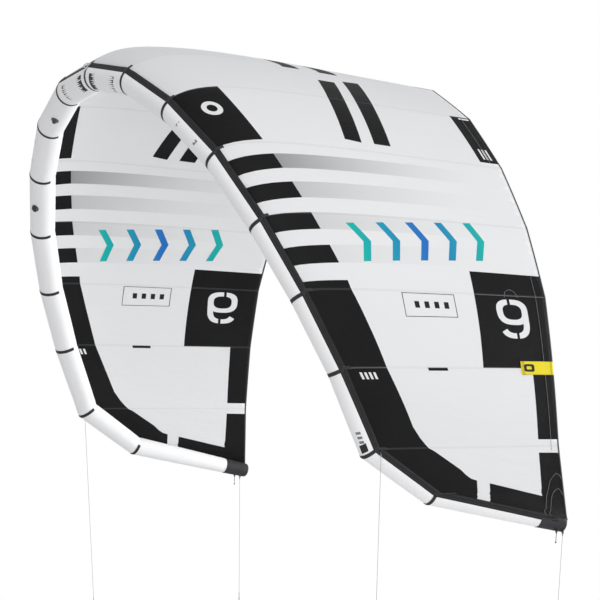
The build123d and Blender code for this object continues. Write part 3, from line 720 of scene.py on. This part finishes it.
def seam_tape(pile, i, side):
    degs = np.radians(np.linspace(TAPE_FROM[i], HEM_DEG[i] + 2, 72))
    sec = [(-HALF_TAPE, 0.0002), (-HALF_TAPE, 0.0010), (-0.004, 0.0013), (0.0, 0.0012), (0.004, 0.0013), (HALF_TAPE, 0.0010), (HALF_TAPE, 0.0002)]
    climb = [0.0014 * min(1.0, max(0.0, (math.degrees(a) - HEM_DEG[i] + 11) / 5)) for a in degs]
    loops = [[side_of(seam_row(i, x, np.float64(a), l + c), side) for x, l in sec] for a, c in zip(degs, climb)]
    pile.loft(loops, flip=side < 0)


pile = Pile()
seam_tape(pile, 0, 1)
pile.build("seam_tape_centre_visual", TAPE_BLACK, slot="black_tape", replaces=["seam_tape_centre"])
for side in ALL_SIDES:
    pile = Pile()
    for i in range(1, CAP_AT):
        seam_tape(pile, i, side)
    pile.build(f"seam_tapes_{TAG[side]}_visual", TAPE_BLACK, slot="black_tape", replaces=[f"seam_tapes_{TAG[side]}"])


# plain printed bars on the tube
def tube_patch(pile, side, seg, w0, w1, a0, a1, slant=0.0, lift=0.0006):
    n, m_ = 10, 10
    W, A = np.meshgrid(np.linspace(w0, w1, n), np.linspace(math.radians(a0), math.radians(a1), m_), indexing="ij")
    W = W + slant * (A - A.min()) / (A.max() - A.min())
    outer = side_of(tube_pt(seg, W, A, lift), side)
    uvs = np.stack([W * seg_len[seg], A * 0.068], -1)
    faces = []
    for a in range(n - 1):
        for b in range(m_ - 1):
            q = [a * m_ + b, a * m_ + b + 1, (a + 1) * m_ + b + 1, (a + 1) * m_ + b]
            faces.append(q if side > 0 else q[::-1])
    pile.add(outer, faces, uvs)


big, small = Pile(), Pile()
for side in ALL_SIDES:
    for k in range(3):
        tube_patch(big, side, 0, 0.10 + 0.26 * k, 0.26 + 0.26 * k, -58, 14, 0.03)
    for k in range(5):
        tube_patch(small, side, 2, 0.30 + 0.09 * k, 0.345 + 0.09 * k, 2, 26, 0.02)
    for k in range(3):
        tube_patch(small, side, 6, 0.70 + 0.055 * k, 0.73 + 0.055 * k, 20, 44, 0.015)
    tube_patch(big, side, 6, 0.86, 0.955, 12, 50, 0.0)
big.build("tube_print_bars", PRINT_BLACK, slot="casing_cloth")
small.build("tube_print_ticks", PRINT_GREY, slot="casing_cloth")

# ------------------------------------------------------------------ canopy
STATION = np.concatenate([[0], np.cumsum([0.5 * (np.linalg.norm(LE[k + 1] - LE[k]) + np.linalg.norm(TE[k + 1] - TE[k])) for k in range(LAST)])])


def billow(s, t):
    f = np.where(s < 7, s - np.floor(s), (s - 7) / 3)
    amp = np.where(s < 7, 0.0105, 0.006)
    return amp * np.sin(math.pi * f) ** 0.9 * np.sin(math.pi * np.clip(t, 0, 1) ** 0.85) ** 0.8 + np.where(s < 7, 0.0022, 0.0) * np.sin(math.pi * f) * np.clip(t, 0, 1)


def surf(s, t, lift=0.0):
    """Canopy points and outward directions on the right half, with the cloth's billow."""
    s, t = np.asarray(s, float).ravel(), np.asarray(t, float).ravel()
    p, n = base_surface(s, t)
    f = np.where(s < 7, s - np.floor(s), (s - 7) / 3)
    return p + n * (billow(s, t) + lift)[:, None], n


def srgb(h):
    c = [int(h[k:k + 2], 16) / 255 for k in (0, 2, 4)]
    return tuple(((x + 0.055) / 1.055) ** 2.4 if x > 0.04045 else x / 12.92 for x in c)


WHITE, BLACK = (0.86, 0.865, 0.87), (0.0055, 0.0055, 0.006)

INNER = [(4.885, 0.179), (4.998, 0.178), (5.221, 0.182), (5.444, 0.185), (5.667, 0.189), (5.888, 0.192), (5.998, 0.193), (6.201, 0.201), (6.404, 0.209),
         (6.506, 0.213), (6.62, 0.217), (6.733, 0.221), (6.871, 0.241), (6.958, 0.261), (7.062, 0.287), (7.198, 0.303), (7.335, 0.32), (7.473, 0.339),
         (7.599, 0.344), (7.679, 0.356), (7.724, 0.384)]
GAP_L = [(7.724, 0.384), (7.812, 0.362), (7.9, 0.338), (7.988, 0.313), (8.135, 0.223), (8.318, 0.068), (8.40, 0.0)]
GAP_R = [(7.79, 0.457), (7.88, 0.436), (7.97, 0.414), (8.107, 0.349), (8.267, 0.241), (8.43, 0.086), (8.53, 0.0)]
TIP_IN = [(7.79, 0.457), (7.841, 0.509), (7.893, 0.564), (7.945, 0.621), (7.999, 0.68), (8.089, 0.729), (8.184, 0.785)]
TE_IN = [(8.184, 0.785), (7.909, 0.826), (7.717, 0.841), (7.525, 0.854), (7.333, 0.865), (7.141, 0.875)]
TE_IN2 = [(6.911, 0.883), (6.747, 0.885), (6.582, 0.887), (6.418, 0.889), (6.253, 0.891), (6.0, 0.893)]

# name, polygon, colour (a triple or a function of s and t)
solid = []
solid.append(("patch", [(2.0, 0.0), (2.985, 0.0), (2.955, 0.155), (1.985, 0.152)], BLACK))
STRIPES = [((3.204, 0.0), (3.172, 0.158), (3.384, 0.160), (3.424, 0.0)), ((3.602, 0.0), (3.575, 0.163), (3.793, 0.166), (3.826, 0.0)),
           ((4.007, 0.0), (3.992, 0.169), (4.221, 0.171), (4.237, 0.0)), ((4.447, 0.0), (4.431, 0.174), (4.663, 0.177), (4.679, 0.0))]
for k, q in enumerate(STRIPES):
    solid.append((f"stripe{k}", list(q), BLACK))
solid.append(("band", [(4.893, 0.0)] + INNER + GAP_L[1:], BLACK))
solid.append(("tip_band", GAP_R[::-1] + TIP_IN[1:] + TE_IN[1:] + [(7.150, 1.0), (9.999, 1.0), (9.999, 0.0)], BLACK))
solid.append(("number_block", [(4.696, 0.693), (4.703, 1.0), (6.0, 1.0), (6.915, 1.0)] + TE_IN2 + [(6.0, 0.650), (5.5, 0.668), (5.008, 0.685)], BLACK))
solid.append(("edge_block", [(1.985, 0.928), (2.922, 0.927), (2.922, 1.0), (1.985, 1.0)], BLACK))
# two long bars high on the wing
solid.append(("bar0", [(1.46, 0.545), (2.83, 0.448), (2.86, 0.503), (1.46, 0.600)], BLACK))
solid.append(("bar1", [(1.36, 0.640), (2.855, 0.548), (2.86, 0.606), (1.33, 0.697)], BLACK))
solid.append(("bar2", [(0.30, 0.480), (1.10, 0.480), (1.10, 0.535), (0.30, 0.535)], BLACK))
solid.append(("bar3", [(0.30, 0.600), (1.10, 0.600), (1.10, 0.660), (0.30, 0.660)], BLACK))
# short dash
solid.append(("dash", [(6.0, 0.383), (6.0, 0.476), (6.040, 0.476), (6.040, 0.383)], BLACK))


# fading bands behind the stripes
def fade(k):
    depth = (0.56, 0.29, 0.19, 0.09)[k]

    def colour(s, t):
        x = np.clip((t - 0.16) / 0.80, 0, 1)
        v = 1 - depth * (1 - x) ** 2
        return np.array(WHITE) * v[..., None]
    return colour


FADES = [((3.172, 0.158), (3.147, 0.643), (3.130, 1.0), (3.350, 1.0), (3.367, 0.655), (3.384, 0.160)),
         ((3.575, 0.163), (3.557, 0.665), (3.545, 1.0), (3.768, 1.0), (3.780, 0.677), (3.793, 0.166)),
         ((3.992, 0.169), (3.980, 0.689), (3.972, 1.0), (4.215, 1.0), (4.219, 0.697), (4.221, 0.171)),
         ((4.431, 0.174), (4.387, 0.703), (4.365, 1.0), (4.625, 1.0), (4.640, 0.712), (4.663, 0.177))]
fades = [(f"fade{k}", list(q), fade(k)) for k, q in enumerate(FADES)]


# teal to blue row of plain chevrons
def teal(s, t):
    x = np.clip((t - 0.26) / 0.58, 0, 1)
    a, b, c = np.array(srgb("14C4B4")), np.array(srgb("2A78CC")), np.array(srgb("1CC8B0"))
    m_ = np.where(x < 0.5, x / 0.5, (1 - x) / 0.5)[..., None]
    return np.where((x < 0.5)[..., None], a * (1 - m_) + b * m_, c * (1 - m_) + b * m_)


def row_pt(u, v):
    t = 0.262 + 0.578 * u
    return (4.125 - 0.150 * u + (0.515 + 0.035 * u) * v, t)


marks = []
for k in range(5):
    u0, wd, th = 0.02 + k * 0.2, 0.105, 0.052
    marks.append((f"chev{k}", [row_pt(u0, 0), row_pt(u0 + th, 0), row_pt(u0 + th + wd * 0.55, 0.5), row_pt(u0 + th, 1), row_pt(u0, 1), row_pt(u0 + wd * 0.55, 0.5)], teal))


def rounded(cs, ct, rs, rt, n=28, power=2.0):
    out = []
    for k in range(n):
        a = 2 * math.pi * k / n
        c, s_ = math.cos(a), math.sin(a)
        out.append((cs + rs * abs(c) ** (2 / power) * (1 if c > 0 else -1), ct + rt * abs(s_) ** (2 / power) * (1 if s_ > 0 else -1)))
    return out


marks.append(("disc", rounded(2.375, 0.082, 0.125, 0.0285), WHITE))
marks.append(("disc_in", rounded(2.375, 0.082, 0.062, 0.0142), BLACK))
# outline box with four plain ticks
BOX = [(5.021, 0.376), (5.022, 0.596), (5.341, 0.584), (5.348, 0.356)]
bc = np.mean(BOX, 0)
marks.append(("box", BOX, (0.02, 0.02, 0.022)))
marks.append(("box_in", [((p[0] - bc[0]) * 0.945 + bc[0], (p[1] - bc[1]) * 0.972 + bc[1]) for p in BOX], WHITE))
for k in range(4):
    t0 = 0.415 + 0.042 * k
    marks.append((f"tick{k}", [(5.135, t0), (5.135, t0 + 0.020), (5.225, t0 + 0.016), (5.225, t0 - 0.004)], (0.02, 0.02, 0.022)))
for k in range(4):
    t0 = 0.062 + 0.020 * k
    marks.append((f"band_tick{k}", [(6.060, t0), (6.060, t0 + 0.011), (6.145, t0 + 0.013), (6.145, t0 + 0.002)], WHITE))
for k in range(3):
    t0 = 0.948 + 0.013 * k
    marks.append((f"edge_tick{k}", [(2.66, t0), (2.66, t0 + 0.007), (2.86, t0 + 0.007), (2.86, t0)], WHITE))
marks.append(("edge_line", [(2.015, 0.955), (2.015, 0.992), (2.045, 0.992), (2.045, 0.955)], WHITE))

# numeral 9: u across in reading direction, v down
CX, CY, RX, RY, ST = 0.50, 0.335, 0.42, 0.315, 0.165


def squared(a):
    """Unit oval with squared shoulders."""
    c, d = math.cos(a), math.sin(a)
    return math.copysign(abs(c) ** 0.74, c), math.copysign(abs(d) ** 0.74, d)


def arc(cy, rx, ry, angles):
    return [(CX + rx * squared(a)[0], cy + ry * squared(a)[1]) for a in angles]


nine_outer = arc(CY, RX, RY, np.linspace(0, 2 * math.pi, 44, endpoint=False))
nine_hole = arc(CY, RX - ST, RY - ST * 0.78, np.linspace(0, 2 * math.pi, 36, endpoint=False))
nine_tail = [(CX + RX, CY)] + arc(0.60, RX, 0.38, np.linspace(0, math.radians(150), 22)) + arc(0.60, RX - ST, 0.38 - ST * 0.78, np.linspace(math.radians(150), 0, 20)) + [(CX + RX - ST, CY)]
nine_gaps = [[(u - 0.036, v0), (u + 0.036, v0), (u + 0.036, v1), (u - 0.036, v1)] for u, v0, v1 in ((0.445, 0.008, 0.160), (0.555, 0.840, 0.992))]


def glyph(pts, side):
    out = []
    for u, v in pts:
        s = 5.045 + 0.565 * v
        t = 0.753 + 0.168 * (u if side > 0 else 1 - u)
        out.append((s, t))
    return out


def regions(side):
    r = list(fades) + list(solid) + list(marks)
    r.append(("nine_outer", glyph(nine_outer, side), WHITE))
    r.append(("nine_tail", glyph(nine_tail, side), WHITE))
    r.append(("nine_hole", glyph(nine_hole, side), BLACK))
    for k, gap in enumerate(nine_gaps):
        r.append((f"nine_gap{k}", glyph(gap, side), BLACK))
    return r


def inside(poly, x, y):
    poly = np.asarray(poly)
    res = np.zeros(len(x), bool)
    j = len(poly) - 1
    for i in range(len(poly)):
        xi, yi, xj, yj = *poly[i], *poly[j]
        if yi != yj:
            res ^= ((yi > y) != (yj > y)) & (x < (xj - xi) * (y - yi) / (yj - yi) + xi)
        j = i
    return res


SY = 1.62
CLOTH = 0.0009


def plane_xy(s, t):
    return np.interp(s, np.arange(LAST + 1), STATION), np.asarray(t) * SY


def half_canopy(side):
    ns, nt = 10, 54
    gs = np.concatenate([np.linspace(0, 10, 10 * ns + 1)])
    gs[-1] = 10.0
    S, T = np.meshgrid(gs, np.linspace(0, 1, nt + 1), indexing="ij")
    pts = [(a, b) for a, b in zip(S.ravel(), T.ravel())]
    edges = []
    nrow = nt + 1
    border = [k * nrow for k in range(len(gs))] + [(len(gs) - 1) * nrow + k for k in range(1, nrow)]
    border += [k * nrow + nt for k in range(len(gs) - 2, -1, -1)] + [k for k in range(nt - 1, 0, -1)]
    edges += [(a, b) for a, b in zip(border, border[1:] + border[:1])]
    # seam lines are kept as edges
    for st in range(1, 9):
        col = [st * ns * nrow + k for k in range(nrow)]
        edges += list(zip(col, col[1:]))
    regs = regions(side)
    for name, poly, colour in regs:
        poly = [(min(max(a, 0.0), 10.0), min(max(b, 0.0), 1.0)) for a, b in poly]
        dense = []
        for a, b in zip(poly, poly[1:] + poly[:1]):
            n = max(1, int(max(abs(b[0] - a[0]) / 0.1, abs(b[1] - a[1]) / 0.03)))
            dense += [(a[0] + (b[0] - a[0]) * k / n, a[1] + (b[1] - a[1]) * k / n) for k in range(n)]
        base = len(pts)
        pts += dense
        edges += [(base + k, base + (k + 1) % len(dense)) for k in range(len(dense))]
    pts = np.array(pts)
    X, Y = plane_xy(pts[:, 0], pts[:, 1])
    v2, e2, f2, *_ = delaunay_2d_cdt([Vector((x, y)) for x, y in zip(X, Y)], edges, [], 0, 1e-6)
    v2 = np.array([tuple(v) for v in v2])
    s = np.interp(v2[:, 0], STATION, np.arange(LAST + 1))
    t = np.clip(v2[:, 1] / SY, 0, 1)
    tri = np.array([f for f in f2 if len(f) == 3])
    ar = (v2[tri[:, 1], 0] - v2[tri[:, 0], 0]) * (v2[tri[:, 2], 1] - v2[tri[:, 0], 1]) - (v2[tri[:, 2], 0] - v2[tri[:, 0], 0]) * (v2[tri[:, 1], 1] - v2[tri[:, 0], 1])
    tri = tri[np.abs(ar) > 1e-9]
    cs, ct = s[tri].mean(1), t[tri].mean(1)
    col = np.broadcast_to(np.array(WHITE), (len(tri), 3, 3)).copy()
    for name, poly, colour in regs:
        hit = inside(poly, cs, ct)
        if callable(colour):
            col[hit] = colour(s[tri[hit]], t[tri[hit]])
        else:
            col[hit] = colour
    return s, t, tri, col


verts, faces, cols, uvs, sts = [], [], [], [], []
for side in ALL_SIDES:
    s, t, tri, col = half_canopy(side)
    p, n = surf(s, t)
    e1 = p[tri[:, 1]] - p[tri[:, 0]]
    e2 = p[tri[:, 2]] - p[tri[:, 0]]
    wrong = (np.cross(e1, e2) * n[tri[:, 0]]).sum(1) < 0
    tri[wrong] = tri[wrong][:, ::-1]
    col[wrong] = col[wrong][:, ::-1]
    X, Y = plane_xy(s, t)
    count = len(s)
    base = len(np.concatenate(verts)) if verts else 0
    outer = side_of(p, side)
    inner = side_of(p - n * CLOTH, side)
    a = tri if side > 0 else tri[:, ::-1]
    ca = col if side > 0 else col[:, ::-1]
    verts += [outer, inner]
    uvs += [np.stack([X, Y], 1)] * 2
    sts += [np.stack([s, t, np.zeros_like(s)], 1)] * 2
    faces.append(a + base)
    cols.append(ca)
    faces.append(a[:, ::-1] + base + count)
    cols.append(ca[:, ::-1])
    # rim
    ed = {}
    for f_, c_ in zip(a, ca):
        for k in range(3):
            i_, j_ = int(f_[k]), int(f_[(k + 1) % 3])
            ed[(i_, j_)] = (c_[k], c_[(k + 1) % 3])
    for (i_, j_), (c0, c1) in ed.items():
        if (j_, i_) not in ed and not (abs(s[i_]) < 1e-6 and abs(s[j_]) < 1e-6):
            faces.append(np.array([[j_ + base, i_ + base, i_ + base + count], [j_ + base, i_ + base + count, j_ + base + count]]))
            cols.append(np.array([[c1, c0, c0], [c1, c0, c1]]))
verts, uvs, sts = np.concatenate(verts), np.concatenate(uvs), np.concatenate(sts)
faces, cols = np.concatenate(faces), np.concatenate(cols)
# weld the two halves along the middle
mid = np.abs(verts[:, 0]) < 1e-7
first, remap = {}, np.arange(len(verts))
for k in np.nonzero(mid)[0]:
    key = tuple(np.round(verts[k], 6))
    remap[k] = first.setdefault(key, k)
faces = remap[faces]
used = np.unique(faces)
new = np.full(len(verts), -1)
new[used] = np.arange(len(used))
verts, uvs, sts, faces = verts[used], uvs[used], sts[used], new[faces]
canopy = make("canopy_cloth_visual", verts, faces, CANOPY, uv=uvs, slot="canopy_cloth",
              replaces=[f"canopy_panel_{s_}{i}" for s_ in "rl" for i in range(1, 8)] + ["canopy_tip_r", "canopy_tip_l"])
me = canopy.data
if len(me.polygons) == len(faces):
    layer = me.color_attributes.new("print", "FLOAT_COLOR", "CORNER")
    flat = np.concatenate([cols.reshape(-1, 3), np.ones((len(faces) * 3, 1))], 1)
    layer.data.foreach_set("color", flat.astype(np.float32).ravel())
else:
    raise SystemExit(f"canopy faces {len(me.polygons)} of {len(faces)}")
at = me.attributes.new("st", "FLOAT_VECTOR", "POINT")
at.data.foreach_set("vector", sts.astype(np.float32).ravel())

# ------------------------------------------------------------------ hem tape, edge binding, seam tabs, pull tabs
def across(s, width):
    """t at which the canopy is width away, square to the hem line."""
    tt = np.linspace(0, 0.5, 500)
    out = []
    for q in s:
        p, _ = surf(np.full(500, q), tt)
        h0, _ = surf([max(q - 0.01, 0)], [0])
        h1, _ = surf([min(q + 0.01, 10)], [0])
        tan = unit(h1[0] - h0[0])
        v = p - p[0]
        v = v - (v @ tan)[:, None] * tan
        dd = np.linalg.norm(v, axis=1)
        k = np.argmax(dd >= width) if (dd >= width).any() else 499
        out.append(tt[k])
    return np.array(out)


hem_s = np.unique(np.concatenate([np.linspace(0, 9.9, 140), np.arange(0, 10)]))
tw1, tw2 = across(hem_s, 0.008), across(hem_s, 0.017)
pile = Pile()
for side in ALL_SIDES:
    loops = []
    for s, t1, t2 in zip(hem_s, tw1, tw2):
        seg = min(int(s), 9)
        w = s - seg
        deg = HEM_DEG[seg] + (HEM_DEG[seg + 1] - HEM_DEG[seg]) * w
        r = RAD[seg] + (RAD[seg + 1] - RAD[seg]) * w
        a0 = math.radians(deg) - 0.014 / r
        a1 = math.radians(deg) - 0.003 / r
        low = tube_pt(seg, np.float64(w), np.float64(a0), 0.0003)
        l0 = tube_pt(seg, np.float64(w), np.float64(a0), 0.0013)
        lm = tube_pt(seg, np.float64(w), np.float64((a0 + a1) / 2), 0.0016)
        l1 = tube_pt(seg, np.float64(w), np.float64(a1), 0.0018)
        c0, n0 = surf([s], [0])
        c1, n1 = surf([s], [t1])
        c2, n2 = surf([s], [t2])
        loops.append([low, l0, lm, l1, c0[0] + n0[0] * 0.0014, c1[0] + n1[0] * 0.0012, c2[0] + n2[0] * 0.0010, c2[0] - n2[0] * 0.0002, c1[0] - n1[0] * 0.0002, c0[0] - n0[0] * 0.0006])
    pile.loft([side_of(l, side) for l in loops], flip=side < 0)
hem = pile.build("canopy_hem_tape_visual", TAPE_HEM, slot="black_tape", replaces=["canopy_hem_tape"])

pile = Pile()
for side in ALL_SIDES:
    loops = []
    for s in np.unique(np.concatenate([np.linspace(0, 9.95, 180), np.arange(0, 10)])):
        p, n = surf([s], [1.0])
        q, _ = surf([s], [0.99])
        e = unit(p[0] - q[0])
        n0 = n[0]
        c = p[0]
        loops.append([c - e * 0.0075 + n0 * 0.0010, c - e * 0.003 + n0 * 0.0013, c + n0 * 0.0011, c + e * 0.0010 - n0 * 0.0004, c - n0 * 0.0020, c - e * 0.003 - n0 * 0.0022, c - e * 0.0075 - n0 * 0.0019])
    pile.loft([side_of(l, side) for l in loops], flip=side < 0)
edge = pile.build("trailing_edge_binding_visual", TAPE_EDGE, slot="black_tape", replaces=["trailing_edge_binding"])

tabs = Pile()
for i in range(0, 9):
    for side in ALL_SIDES if i else (1,):
        wd = 0.0075
        t_end = float(across([max(i, 0.001)], 0.034 + 0.004 * (i % 2))[0])
        loops = []
        for q in np.linspace(0, 1, 9):
            row = []
            for x, l in ((-wd, 0.0006), (-wd, 0.0021), (0, 0.0024), (wd, 0.0021), (wd, 0.0006)):
                k = i if x >= 0 else i - 1
                st = seg_len[max(k, 0)]
                s = i + x / st
                mir = s < 0
                p, n = surf([abs(s)], [q * t_end])
                v = p[0] + n[0] * l
                if mir:
                    v = v * np.array([-1, 1, 1])
                row.append(v)
            loops.append(row)
        tabs.loft([side_of(l, side) for l in loops], flip=side > 0)
seam_tabs = tabs.build("seam_tabs_visual", TAPE_BLACK, slot="black_tape")

tagp, tagm = Pile(), Pile()
for side in ALL_SIDES:
    loops = []
    for s in np.linspace(5.907, 6.085, 9):
        row = []
        for t in np.linspace(0.836, 0.999, 16):
            p, n = surf([s], [t])
            row.append(p[0] + n[0] * (0.0024 + 0.0008 * math.sin(t * 90)))
        for t in np.linspace(0.999, 0.836, 16):
            p, n = surf([s], [t])
            row.append(p[0] + n[0] * (0.0016 + 0.0008 * math.sin(t * 90)))
        loops.append(row)
    tagp.loft([side_of(l, side) for l in loops], flip=side < 0)
    mark = rounded(5.996, 0.876, 0.050, 0.026, 26, 5.0)
    cen, cn = surf([5.996], [0.876])
    ptsm = [surf([a], [b], 0.0034)[0][0] for a, b in mark]
    hole = rounded(5.996, 0.876, 0.022, 0.013, 26, 5.0)
    ptsh = [surf([a], [b], 0.0034)[0][0] for a, b in hole]
    fcs = []
    for k in range(26):
        j = (k + 1) % 26
        q = [k, j, 26 + j, 26 + k]
        fcs.append(q if side < 0 else q[::-1])
    tagm.add([side_of(p_, side) for p_ in ptsm + ptsh], fcs, [(0.0, 0.0)] * 52)
tag_ob = tagp.build("pull_tabs_visual", TAG_YELLOW, slot="yellow_tab", replaces=["pull_tabs"])
tag_mark = tagm.build("pull_tab_marks", PRINT_BLACK, slot="yellow_tab")

# rows of thread: round the tip, beside the trailing edge and over the numeral
ARCH_O = [(8.916, 0.355), (8.665, 0.652), (8.41, 0.772), (8.153, 0.835), (7.975, 0.871), (7.864, 0.889), (7.754, 0.906), (7.609, 0.956), (7.648, 0.978), (7.73, 0.99)]
ARCH_I = [(8.963, 0.407), (8.765, 0.67), (8.563, 0.781), (8.359, 0.842), (8.003, 0.919), (7.943, 0.953), (7.982, 0.969), (8.169, 0.985)]
ARCH_9 = [(5.028, 0.815), (4.975, 0.818), (4.935, 0.828), (4.919, 0.845), (4.935, 0.860), (4.975, 0.869), (5.028, 0.872)]
EDGE_ROW = [(s, 1 - 0.058 / 1.65) for s in np.linspace(2.0, 2.92, 8)]
EDGE_ROW2 = [(s, 0.955) for s in np.linspace(4.72, 7.1, 20)]
SEAM5 = [(5.004, t) for t in np.linspace(0.69, 0.99, 12)]
SEAM6 = [(6.004, t) for t in np.linspace(0.02, 0.19, 8)]
threads = Pile()
for side in ALL_SIDES:
    for path in (ARCH_O, ARCH_I, ARCH_9, EDGE_ROW, EDGE_ROW2, SEAM5, SEAM6):
        path = np.array(path)
        d = np.concatenate([[0], np.cumsum(np.hypot(np.diff(path[:, 0]) * 0.35, np.diff(path[:, 1]) * 1.5))])
        f = np.linspace(0, d[-1], max(12, int(d[-1] / 0.012)))
        ss, tt = np.interp(f, d, path[:, 0]), np.interp(f, d, path[:, 1])
        p, n = surf(ss, tt, 0.0006)
        threads.loft(tube_loops(side_of(p, side), 0.0009, 6), flip=False)
thread_ob = threads.build("thread_rows", THREAD, slot="black_tape")

# ------------------------------------------------------------------ centre loop and line tabs
rad_dir = np.array([0, -math.cos(LOOP_ANGLE), math.sin(LOOP_ANGLE)])
tan_dir = np.array([0, math.sin(LOOP_ANGLE), math.cos(LOOP_ANGLE)])
base_c = LE[0] + rad_dir * LOOP_FOOT


def web_strip(pile, path, normals, width_dir, width, thick):
    loops = []
    for p, n in zip(path, normals):
        n = unit(n)
        h, t = width / 2, thick / 2
        loops.append([p - width_dir * h - n * t, p - width_dir * h + n * t, p - width_dir * h * 0.9 + n * t * 1.15, p + width_dir * h * 0.9 + n * t * 1.15,
                      p + width_dir * h + n * t, p + width_dir * h - n * t])
    pile.loft(loops)


pile = Pile()
a = np.linspace(math.radians(-42), math.radians(222), 60)
path = np.array([base_c + rad_dir * (8.0 + 8.85 * math.sin(x)) * MM + tan_dir * (13.5 * math.cos(x)) * MM for x in a])
nrm = np.array([rad_dir * math.sin(x) / 8.85 + tan_dir * math.cos(x) / 13.5 for x in a])
legs = np.linspace(0, 1, 12)
web_strip(pile, path, nrm, np.array([1.0, 0, 0]), 0.0155, 0.0016)
foot_path = np.array([base_c + tan_dir * x + rad_dir * (0.0009 - x * x / (2 * RAD[0]) * 0.9) for x in np.linspace(-0.022, 0.022, 24)])
web_strip(pile, foot_path, np.repeat(rad_dir[None], 24, 0), np.array([1.0, 0, 0]), 0.0158, 0.0015)
pile.build("centre_loop_visual", WEB_WHITE, slot="white_webbing", replaces=["centre_loop"])

pile = Pile()
for key, (foot, out, along, axis, eye) in EYES.items():
    for side in ALL_SIDES:
        d = FRONT_DIR if key == "front" else REAR_DIR
        perp = unit(np.cross(axis, out))
        # ear: a folded strip round the eyelet
        h = np.linalg.norm(eye - foot)
        prof = [foot + perp * 0.0052, foot + out * h * 0.5 + perp * 0.0062]
        prof += [eye + (out * math.sin(x) + perp * math.cos(x)) * 0.0056 for x in np.linspace(0, math.pi, 17)]
        prof += [foot + out * h * 0.5 - perp * 0.0062, foot - perp * 0.0052]
        prof = np.array(prof)
        tng = unit(np.gradient(prof, axis=0))
        nn = np.cross(tng, axis)
        web_strip(pile, side_of(prof, side), side_of(nn, side), side_of(axis, side), 0.0034, 0.0024)
        low = [eye + (out * math.sin(x) + perp * math.cos(x)) * 0.0047 for x in np.linspace(math.pi, 2 * math.pi, 13)]
        low = np.array(low)
        tng = unit(np.gradient(low, axis=0))
        web_strip(pile, side_of(low, side), side_of(np.cross(tng, axis), side), side_of(axis, side), 0.0030, 0.0020)
        pts = np.array([foot + perp * x + out * 0.0008 for x in np.linspace(-0.007, 0.007, 8)])
        web_strip(pile, side_of(pts, side), side_of(np.repeat(out[None], 8, 0), side), side_of(axis, side), 0.018, 0.0014)
pile.build("line_tabs_visual", WEBBING, slot="black_webbing", replaces=["line_tabs"])

# ------------------------------------------------------------------ valves keep their CAD shape
for node, mtl in (("inflate_valve", VALVE_GREY), ("inflate_valve_cap", VALVE_BLACK), ("inflate_check_flap", VALVE_BLACK), ("dump_valve", VALVE_GREY), ("dump_valve_cap", VALVE_BLACK)):
    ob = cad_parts[node]
    ob.data.materials.clear()
    ob.data.materials.append(mtl)

# ------------------------------------------------------------------ floor, light, sky
fl = Mat("floor_pale")
fl.surface(fl.mix(fl.math("MULTIPLY", fl.noise(0.8, 3.0), 0.02), (0.84, 0.84, 0.845), (0.78, 0.78, 0.785)), 0.9, None, spec=0.1)
n = 128
ring = [(2.55 * math.cos(2 * math.pi * k / n), 0.85 + 2.55 * math.sin(2 * math.pi * k / n), -2.96) for k in range(n)]
floor = make("floor", ring, [list(range(n))], fl.m, body=None, smooth=False)

world = bpy.data.worlds.new("studio")
bpy.context.scene.world = world
world.use_nodes = True
wt = world.node_tree
wt.nodes.clear()
tc = wt.nodes.new("ShaderNodeTexCoord")
sx = wt.nodes.new("ShaderNodeSeparateXYZ")
ab = wt.nodes.new("ShaderNodeMath"); ab.operation = "ABSOLUTE"
ramp = wt.nodes.new("ShaderNodeValToRGB")
bg = wt.nodes.new("ShaderNodeBackground")
wo = wt.nodes.new("ShaderNodeOutputWorld")
wt.links.new(tc.outputs["Generated"], sx.inputs[0])
wt.links.new(sx.outputs[2], ab.inputs[0])
neg = wt.nodes.new("ShaderNodeMath"); neg.operation = "MULTIPLY"; neg.inputs[1].default_value = -0.62
pos = wt.nodes.new("ShaderNodeMath"); pos.operation = "MAXIMUM"; pos.inputs[1].default_value = 0.0
add = wt.nodes.new("ShaderNodeMath"); add.operation = "ADD"
wt.links.new(sx.outputs[1], neg.inputs[0])
wt.links.new(neg.outputs[0], pos.inputs[0])
wt.links.new(pos.outputs[0], add.inputs[0])
wt.links.new(ab.outputs[0], add.inputs[1])
wt.links.new(add.outputs[0], ramp.inputs[0])
ramp.color_ramp.elements[0].position = 0.20
ramp.color_ramp.elements[0].color = (1, 1, 1, 1)
ramp.color_ramp.elements[1].position = 0.85
ramp.color_ramp.elements[1].color = (0.50, 0.50, 0.51, 1)
wt.links.new(ramp.outputs[0], bg.inputs[0])
bg.inputs[1].default_value = 1.0
wt.links.new(bg.outputs[0], wo.inputs[0])

MIDDLE = Vector((0.0, 0.85, -1.0))


def area(name, place, size, power, target=MIDDLE):
    li = bpy.data.lights.new(name, "AREA")
    li.shape = "SQUARE"
    li.size = size
    li.energy = power
    ob = bpy.data.objects.new(name, li)
    ob.location = place
    ob.rotation_euler = (target - Vector(place)).to_track_quat("-Z", "Y").to_euler()
    bpy.context.scene.collection.objects.link(ob)
    return ob


area("key", (6.0, 0.2, 5.2), 4.0, 190.0)
area("front_right", (10.5, -4.0, -2.5), 3.0, 150.0)
area("rear_fill", (1.0, 7.5, -1.2), 3.0, 330.0, Vector((-1.5, 0.9, -1.1)))
bpy.context.scene.view_settings.view_transform = "Standard"
